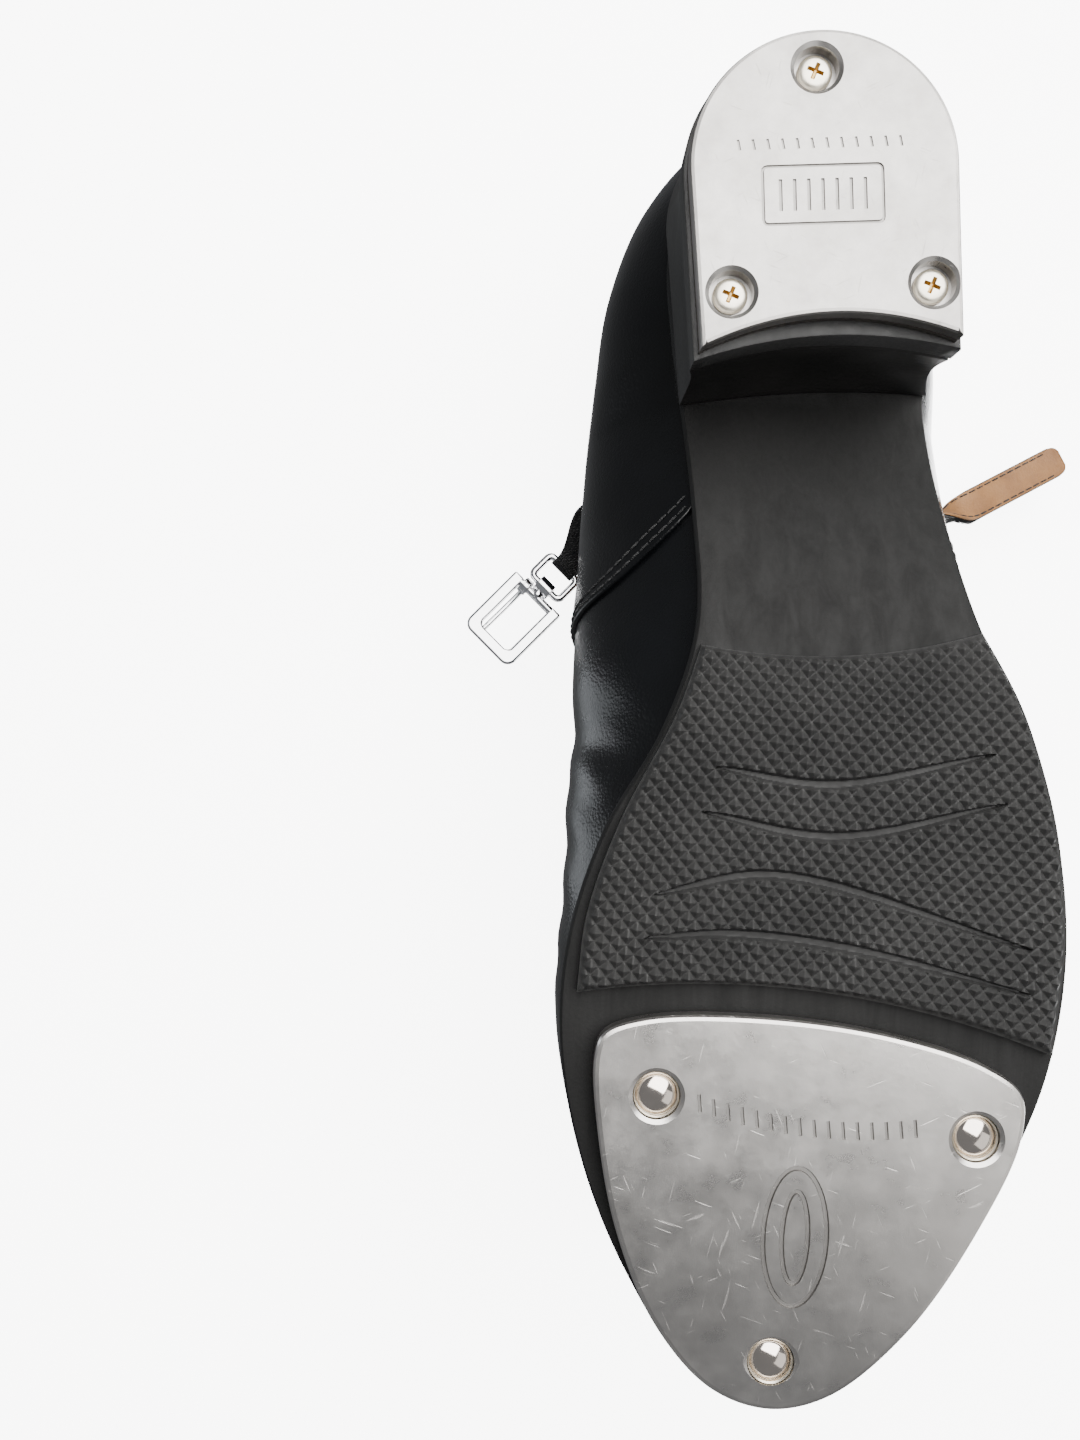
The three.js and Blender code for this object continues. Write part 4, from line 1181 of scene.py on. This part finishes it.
for place, (sx, sy) in HEEL_SCREWS.items():
    x, y = heel_turned(sx, sy)
    profile = [
        (0, 1.0), (1.2, 1.04), (2.1, 1.18), (2.7, 1.42), (3.0, 1.78), (3.0, 2.2), (1.6, 2.6),
        (1.5, 6), (1.5, 16.5), (0, 18),
    ]
    node = "heel_tap_screw_" + place
    head = turned("screw_" + place, profile, (x, y, 0), [NICKEL, BRASS], node=node, slot="screw_steel")
    for blade in cross_cutter(x, y, 1.0, 1.75, 0.42, 1.15):
        carve(head, [blade])
    for face in head.data.polygons:
        middle = face.center
        low = middle.z < 2.3 * MM and hypot(middle.x - x * MM, middle.y - y * MM) < 2.1 * MM
        steep = abs(face.normal.z) < 0.6
        if low and (steep or middle.z > 1.5 * MM):
            face.material_index = 1

for place, (x, y) in TOE_RIVETS.items():
    base = float(toe_spring(y))
    profile = [
        (0, 0.15), (0.9, 0.19), (1.8, 0.36), (2.6, 0.68), (3.2, 1.1), (3.55, 1.52), (3.6, 1.66),
        (1.62, 1.7), (1.6, 7.2), (0, 7.6),
    ]
    turned(
        "rivet_" + place, profile, (x, y, base), RIVET, node="toe_tap_rivet_" + place,
        slot="rivet_nickel",
    )
    ring = [(3.62, 0.95), (3.86, 0.7), (4.02, 0.95), (3.95, 1.6), (3.65, 1.62), (3.62, 0.95)]
    turned("rivet_ring_" + place, ring, (x, y, base), NICKEL, slot="rivet_nickel")


# ---- heel
solid(
    "heel_lift_rubber",
    plate_rings(LIFT_OUTLINE, [(0.5, 4.5), (0.12, 4.62), (0.0, 4.9), (0.0, 9.75), (0.3, 10.0)]),
    LIFT, node="heel_top_lift", slot="rubber_sole",
)
solid(
    "heel_tap_board_dark",
    plate_rings(TAP_OUTLINE, [(0.35, 3.05), (0.1, 3.2), (0.1, 4.4), (0.4, 4.5)]),
    BOARD, node="heel_tap_board", slot="fibre_board",
)
BLOCK_FOOT = 10.05


def heel_block():
    """Block that widens from the top lift up to the seat, with hollow sides."""
    rings = []
    count = 26
    for i in range(count):
        t = i / (count - 1)
        curve = t + 0.05 * sin(2 * pi * t)
        at = LIFT_OUTLINE + (SEAT_OUTLINE - LIFT_OUTLINE) * curve
        waist = 1.3 * sin(pi * t)
        at = at + (at.mean(0) - at) * (waist / 25)
        if i in (0, count - 1):
            at = at + (at.mean(0) - at) * 0.012
        top = sole_under(at[:, 1]) - 0.05
        z = BLOCK_FOOT + (top - BLOCK_FOOT) * t
        rings.append(np.column_stack([at, z]) * MM)
    solid("heel_block_gloss", rings, HEEL, node="heel_block", slot="heel_plastic")


heel_block()


# ---- inside the shoe
SOCK_FOOT = 5.3
sock = edge_plate(
    "sock_padded", 260, [(7.0, 0.1), (5.6, 0.8), (5.5, 1.6), (6.3, 2.1), (9.0, 2.25)],
    lambda y, z: sole_top(y) + SOCK_FOOT + z, 1, TAN, node="sock_lining", slot="tan_lining",
)

for node, material in {
    "insole_board": FIBRE, "forepart_filler": CORK, "shank_spring": STEEL, "toe_puff": FELT,
    "heel_counter": FELT, "heel_fixing_screw": STEEL, "toe_tap_board": BOARD,
}.items():
    NODES[node].data.materials.clear()
    NODES[node].data.materials.append(material)


# ---- strap
STRAP_AT = Matrix.Translation((0.034, 0.0485, 0.0706)) @ Matrix.Rotation(radians(-30), 4, "Z")
STRAP_AT = STRAP_AT @ Matrix.Rotation(radians(-14), 4, "Y")
TWIST = (6, 27)
STRAP_TIP = 54
STRAP_HALF = 3.75


def strap_point(x, y, z):
    """Point of the strap's section at length x, carried into the shoe's frame."""
    turn = pi * float(smooth(*TWIST, x))
    c, s = cos(turn), sin(turn)
    return STRAP_AT @ Vector((x * MM, (y * c - z * s) * MM, (y * s + z * c) * MM))


def ribbon(name, x0, x1, low, high, width, material, steps, **more):
    """Layer of the strap from x0 to x1 and from low to high, with rounded edges and tip."""
    tip_start = STRAP_TIP - STRAP_HALF
    section = []
    corner = min(0.35, (high - low) * 0.4)
    for i in range(5):
        a = pi / 2 * i / 4
        inner = 1 - corner / STRAP_HALF * (1 - sin(a))
        section.append((inner, low + corner * (1 - cos(a))))
    section += [(y, low + high - z) for y, z in reversed(section)]
    section = section + [(-y, z) for y, z in reversed(section)]
    rings = []
    for i in range(steps + 1):
        x = mix(x0, x1, i / steps)
        past = max(0.0, x - tip_start) / STRAP_HALF
        half = width / 2 * sqrt(max(0.2, 1 - past**4))
        ends = 0.12 if i in (0, steps) else 0.0
        rings.append(np.array([
            strap_point(x, y * half, mix(z, (low + high) / 2, ends)) for y, z in section
        ]))
    return solid(name, rings, material, body=None, **more)


def blended(obj):
    """Bakes the piece's placement into its mesh."""
    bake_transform(obj)


blended(ribbon(
    "strap_leather", -0.6, STRAP_TIP, -1.15, 0.0, 7.6, LEATHER, 130,
    node=["strap_root", "strap"], slot="black_leather",
))
blended(ribbon(
    "strap_lining_tan", -0.4, STRAP_TIP - 0.35, 0.0, 0.85, 7.2, TAN, 130, node="strap_lining",
    slot="tan_lining",
))


def sewn_end():
    """The strap's own end lies over the binding and is sewn down inside the shoe."""
    path = [
        (-1.75, 0.0), (-3.2, 0.0), (-4.6, -0.25), (-5.7, -1.1), (-6.3, -2.8), (-6.5, -5), (-6.5, -9),
    ]
    rings = []
    for i, (x, z) in enumerate(path):
        before = path[max(0, i - 1)]
        after = path[min(len(path) - 1, i + 1)]
        along = Vector((after[0] - before[0], after[1] - before[1])).normalized()
        up = (along.y, -along.x)
        rings.append(np.array([
            STRAP_AT @ Vector(((x + up[0] * h) * MM, y * MM, (z - 0.1 + up[1] * h) * MM))
            for y, h in (
                (-STRAP_HALF, -0.9), (STRAP_HALF, -0.9), (STRAP_HALF, 0.85), (-STRAP_HALF, 0.85),
            )
        ]))
    obj = solid("strap_sewn_end", rings, LEATHER, node="strap_anchor", slot="black_leather")
    bevel(obj, 0.00025, 3, 50)


sewn_end()
edge_stitches = []
for side in (1, -1):
    for height, depth in ((-1.17, 1), (0.87, -1)):
        x = np.linspace(1.0, 49.5, 120)
        line = [strap_point(q, side * 2.9, height) for q in x]
        under = [strap_point(q, side * 2.9, height + depth) for q in x]
        normal = np.array(line) - np.array(under)
        edge_stitches += thread_run(line, normal, *STRAP_STITCH)
blended(piece("strap_stitching", *joined(edge_stitches), THREAD, body=None, slot="black_leather"))


# ---- elastic, loop and buckle
TAB_AT = Matrix.Translation((-0.0332, 0.047, 0.0699)) @ Matrix.Rotation(radians(133), 4, "Z")
TAB_LENGTH = 12.5
LOOP_END = TAB_LENGTH + 6.5
FRAME_START = LOOP_END + 3.0
FRAME_END = FRAME_START + 15.5


def tab_point(x, y, z):
    """Point in the frame of the elastic tab, x along it and out of the shoe."""
    return TAB_AT @ Vector((x * MM, y * MM, (z + 0.25) * MM))


def elastic():
    """Ribbed tab that narrows to its folded end, which holds the wire loop."""
    ribs = 40
    rings = []
    for i in range(61):
        t = i / 60
        x = mix(-2.2, TAB_LENGTH + 1.3, t)
        half = mix(8.5, 3.0, float(smooth(0, TAB_LENGTH, x)))
        skew = mix(-1.0, 0.0, t)
        thick = 0.8 + 0.95 * float(smooth(TAB_LENGTH - 3.2, TAB_LENGTH - 0.4, x))
        thick *= sqrt(max(0.15, 1 - max(0, (x - TAB_LENGTH) / 1.75) ** 2))
        ring = []
        for side in (1, -1):
            for j in range(ribs + 1):
                s = 1 - 2 * j / ribs
                rib = 0.09 * cos(s * pi * 13)
                edge = sqrt(max(0.0, 1 - abs(s) ** 14))
                ring.append(tab_point(x, skew + s * half * side, side * (thick + rib) * max(0.35, edge)))
        rings.append(np.array(ring))
    obj = solid(
        "elastic_ribbed", rings, ELASTIC, body="elastic", node="elastic_tab", slot="black_elastic",
    )
    carve(obj, [tube([tab_point(TAB_LENGTH, y, 0) for y in (-9, 0, 9)], 0.00102, 20)])


elastic()
tab_seam = []
for x in (0.9, 2.3):
    line = [tab_point(x, y - 1.0, -0.83) for y in np.linspace(-7.6, 7.6, 40)]
    tab_seam += thread_run(line, [(0, 0, -1)] * 40, *ELASTIC_STITCH)
piece("elastic_stitching", *joined(tab_seam), THREAD, body="elastic", slot="black_elastic")


def wire_ring(x0, x1, half, corner):
    """Centre line of a rectangular ring of bent wire, with short steps along its sides."""
    points = rounded(x0, x1, -half, half, corner, 8)
    dense = []
    for a, b in zip(points, points[1:] + points[:1]):
        steps = max(1, int(dist(a, b) / 1.2))
        for i in range(steps):
            dense.append(tab_point(mix(a[0], b[0], i / steps), mix(a[1], b[1], i / steps), 0))
    return dense


wire = tube(wire_ring(TAB_LENGTH, LOOP_END, 4.4, 1.3), 0.00085, 18, closed=True)
outward(piece("loop_wire", *wire, CHROME, body="loop", node="buckle_loop", slot="chrome_metal"))


def rail_outline():
    """Outline of the buckle's flat rail: three sides, open towards the bar of the tongue."""
    outer, inner, corner, bend, rail = 7.4, 4.6, 2.4, 1.2, 2.8
    start, end = FRAME_START - 1.0, FRAME_END + 1.0
    return [
        (start, -outer), *arc(end - corner, -outer + corner, corner, -90, 90, 8),
        *arc(end - corner, outer - corner, corner, 0, 90, 8), (start, outer), (start, inner),
        *arc(end - rail - bend, inner - bend, bend, 90, -90, 6),
        *arc(end - rail - bend, -inner + bend, bend, 0, -90, 6), (start, -inner),
    ]


def sleeve(x, y, outer, inner, half, steps):
    """Vertices and faces of a short pipe round a line across the tab."""
    verts = []
    for i in range(steps):
        a = 2 * pi * i / steps
        for r, w in ((outer, -half), (outer, half), (inner, half), (inner, -half)):
            verts.append(tab_point(x + r * cos(a), y + w, r * sin(a)))
    return verts, grid_faces(steps, 4, wrap_rows=True, wrap_columns=True)


def buckle():
    """Flat rails, the bar across them, and the knuckle that turns on the wire loop."""
    points = rail_outline()
    rails = solid(
        "buckle_rails", [np.array([tab_point(x, y, z) for x, y in points]) for z in (-1.0, 1.0)],
        CHROME, body="buckle", node="buckle_frame", slot="chrome_metal",
    )
    bevel(rails, 0.00055, 4, 50)
    bar = tube([tab_point(FRAME_START, y, 0) for y in np.linspace(-6, 6, 9)], 0.001, 20)
    outward(piece("buckle_bar", *bar, CHROME, body="buckle", slot="chrome_metal"))
    neck_line = np.linspace(LOOP_END + 1.9, FRAME_START - 0.4, 6)
    neck = tube([tab_point(x, 0, 0) for x in neck_line], 0.0014, 18)
    knuckle = sleeve(LOOP_END, 0, 2.0, 1.18, 2.0, 32)
    obj = outward(piece(
        "buckle_knuckle", *joined([knuckle, neck]), CHROME, body="buckle", slot="chrome_metal",
    ))
    bevel(obj, 0.00022, 3, 60)


buckle()


def prong():
    """Tongue of wire whose two coils and short sleeve turn on the bar."""
    y = 3.4
    parts = []
    for shift in (-0.75, 0.45):
        circle = [
            tab_point(FRAME_START + 1.62 * cos(a), y + shift, 1.62 * sin(a))
            for a in np.linspace(0, 2 * pi, 30, endpoint=False)
        ]
        parts.append(tube(circle, 0.0004, 10, closed=True))
    x = np.linspace(FRAME_START, FRAME_END + 0.6, 24)
    rise = [2.0 + 0.5 * sin(pi * min(1, t * 1.4)) for t in np.linspace(0, 1, 24)]
    parts.append(tube([tab_point(q, y, h - 0.1) for q, h in zip(x, rise)], 0.0006, 14))
    parts.append(sleeve(FRAME_START, y, 1.95, 1.35, 0.95, 28))
    outward(piece(
        "buckle_tongue", *joined(parts), CHROME, body="prong", node="buckle_prong",
        slot="chrome_metal",
    ))


prong()


# ---- stage
STAGE_SIZE = 6.0
TABLE_HEIGHT = 0.094


def one_sided(name, color, rough, glow):
    """Stage finish that shows only on the face turned to the object."""
    m = Nodes(name)
    m.set(Base_Color=m.ramp(m.noise(8, 4), [(0.3, color), (0.7, tuple(c * 0.97 for c in color))]))
    m.set(Roughness=rough, Emission_Color=(1.0, 1.0, 1.0, 1.0), Emission_Strength=glow)
    back = m.tree.nodes.new("ShaderNodeNewGeometry").outputs["Backfacing"]
    clear = m.tree.nodes.new("ShaderNodeBsdfTransparent")
    blend = m.tree.nodes.new("ShaderNodeMixShader")
    m.put(blend.inputs[0], back)
    m.put(blend.inputs[1], m.shader.outputs[0])
    m.put(blend.inputs[2], clear.outputs[0])
    output = next(n for n in m.tree.nodes if n.type == "OUTPUT_MATERIAL")
    m.put(output.inputs["Surface"], blend.outputs[0])
    return m.material


def stage_plane(name, z, facing_up, material):
    """Square plane that is lit but throws no shadow, reflection or bounced light."""
    s = STAGE_SIZE / 2
    corners = [(-s, -s, z), (s, -s, z), (s, s, z), (-s, s, z)]
    face = (0, 1, 2, 3) if facing_up else (3, 2, 1, 0)
    obj = piece(name, corners, [face], material, body=None)
    obj.visible_shadow = False
    obj.visible_glossy = False
    obj.visible_diffuse = False


FLOOR = one_sided("floor_pale", (0.8, 0.795, 0.79), 0.9, 0.0)
TABLE = one_sided("table_pale", (0.84, 0.835, 0.83), 0.9, 7.0)
stage_plane("floor_under_taps", 0.0, True, FLOOR)
stage_plane("table_over_topline", TABLE_HEIGHT, False, TABLE)


TARGET = (0, 0.09, 0.03)


def area_light(name, place, size, power, color=(1, 1, 1)):
    """Rectangular light aimed at the middle of the shoe."""
    light = bpy.data.lights.new(name, "AREA")
    light.shape = "RECTANGLE"
    light.size, light.size_y = size
    light.energy = power
    light.color = color
    obj = bpy.data.objects.new(name, light)
    obj.location = place
    direction = Vector(TARGET) - Vector(place)
    obj.rotation_euler = direction.to_track_quat("-Z", "Y").to_euler()
    bpy.context.scene.collection.objects.link(obj)


area_light("below_soft", (0.2, -0.27, -0.66), (1.0, 1.1), 27, (1.0, 0.99, 0.97))
area_light("below_fill", (0.7, 0.55, -0.6), (0.7, 0.7), 1.5, (1.0, 0.98, 0.95))
area_light("above_soft", (0.35, -0.2, 1.0), (0.8, 0.8), 28)
area_light("side_strip", (-0.85, 0.02, 0.42), (0.22, 0.9), 1.4, (0.9, 0.95, 1.0))
area_light("above_side", (0.8, 0.6, 0.5), (0.5, 0.5), 5)

world = bpy.data.worlds.new("studio")
world.use_nodes = True
background = world.node_tree.nodes["Background"].inputs
background["Color"].default_value = (0.95, 0.97, 1.0, 1)
background["Strength"].default_value = 0.22
bpy.context.scene.world = world

camera_data = bpy.data.cameras.new("photo_camera")
camera_data.lens = 27.3
camera_data.sensor_width = 36
camera_data.sensor_fit = "VERTICAL"
camera_data.sensor_height = 36
camera_data.clip_start = 0.005
camera = bpy.data.objects.new("photo_camera", camera_data)
CAMERA_TILT = 0.041
camera.matrix_world = Matrix((
    (0.99916, -CAMERA_TILT, 0, -0.046),
    (-CAMERA_TILT, -0.99916, 0, 0.0919),
    (0, 0, -1, -0.185),
    (0, 0, 0, 1),
))
bpy.context.scene.collection.objects.link(camera)
bpy.context.scene.camera = camera
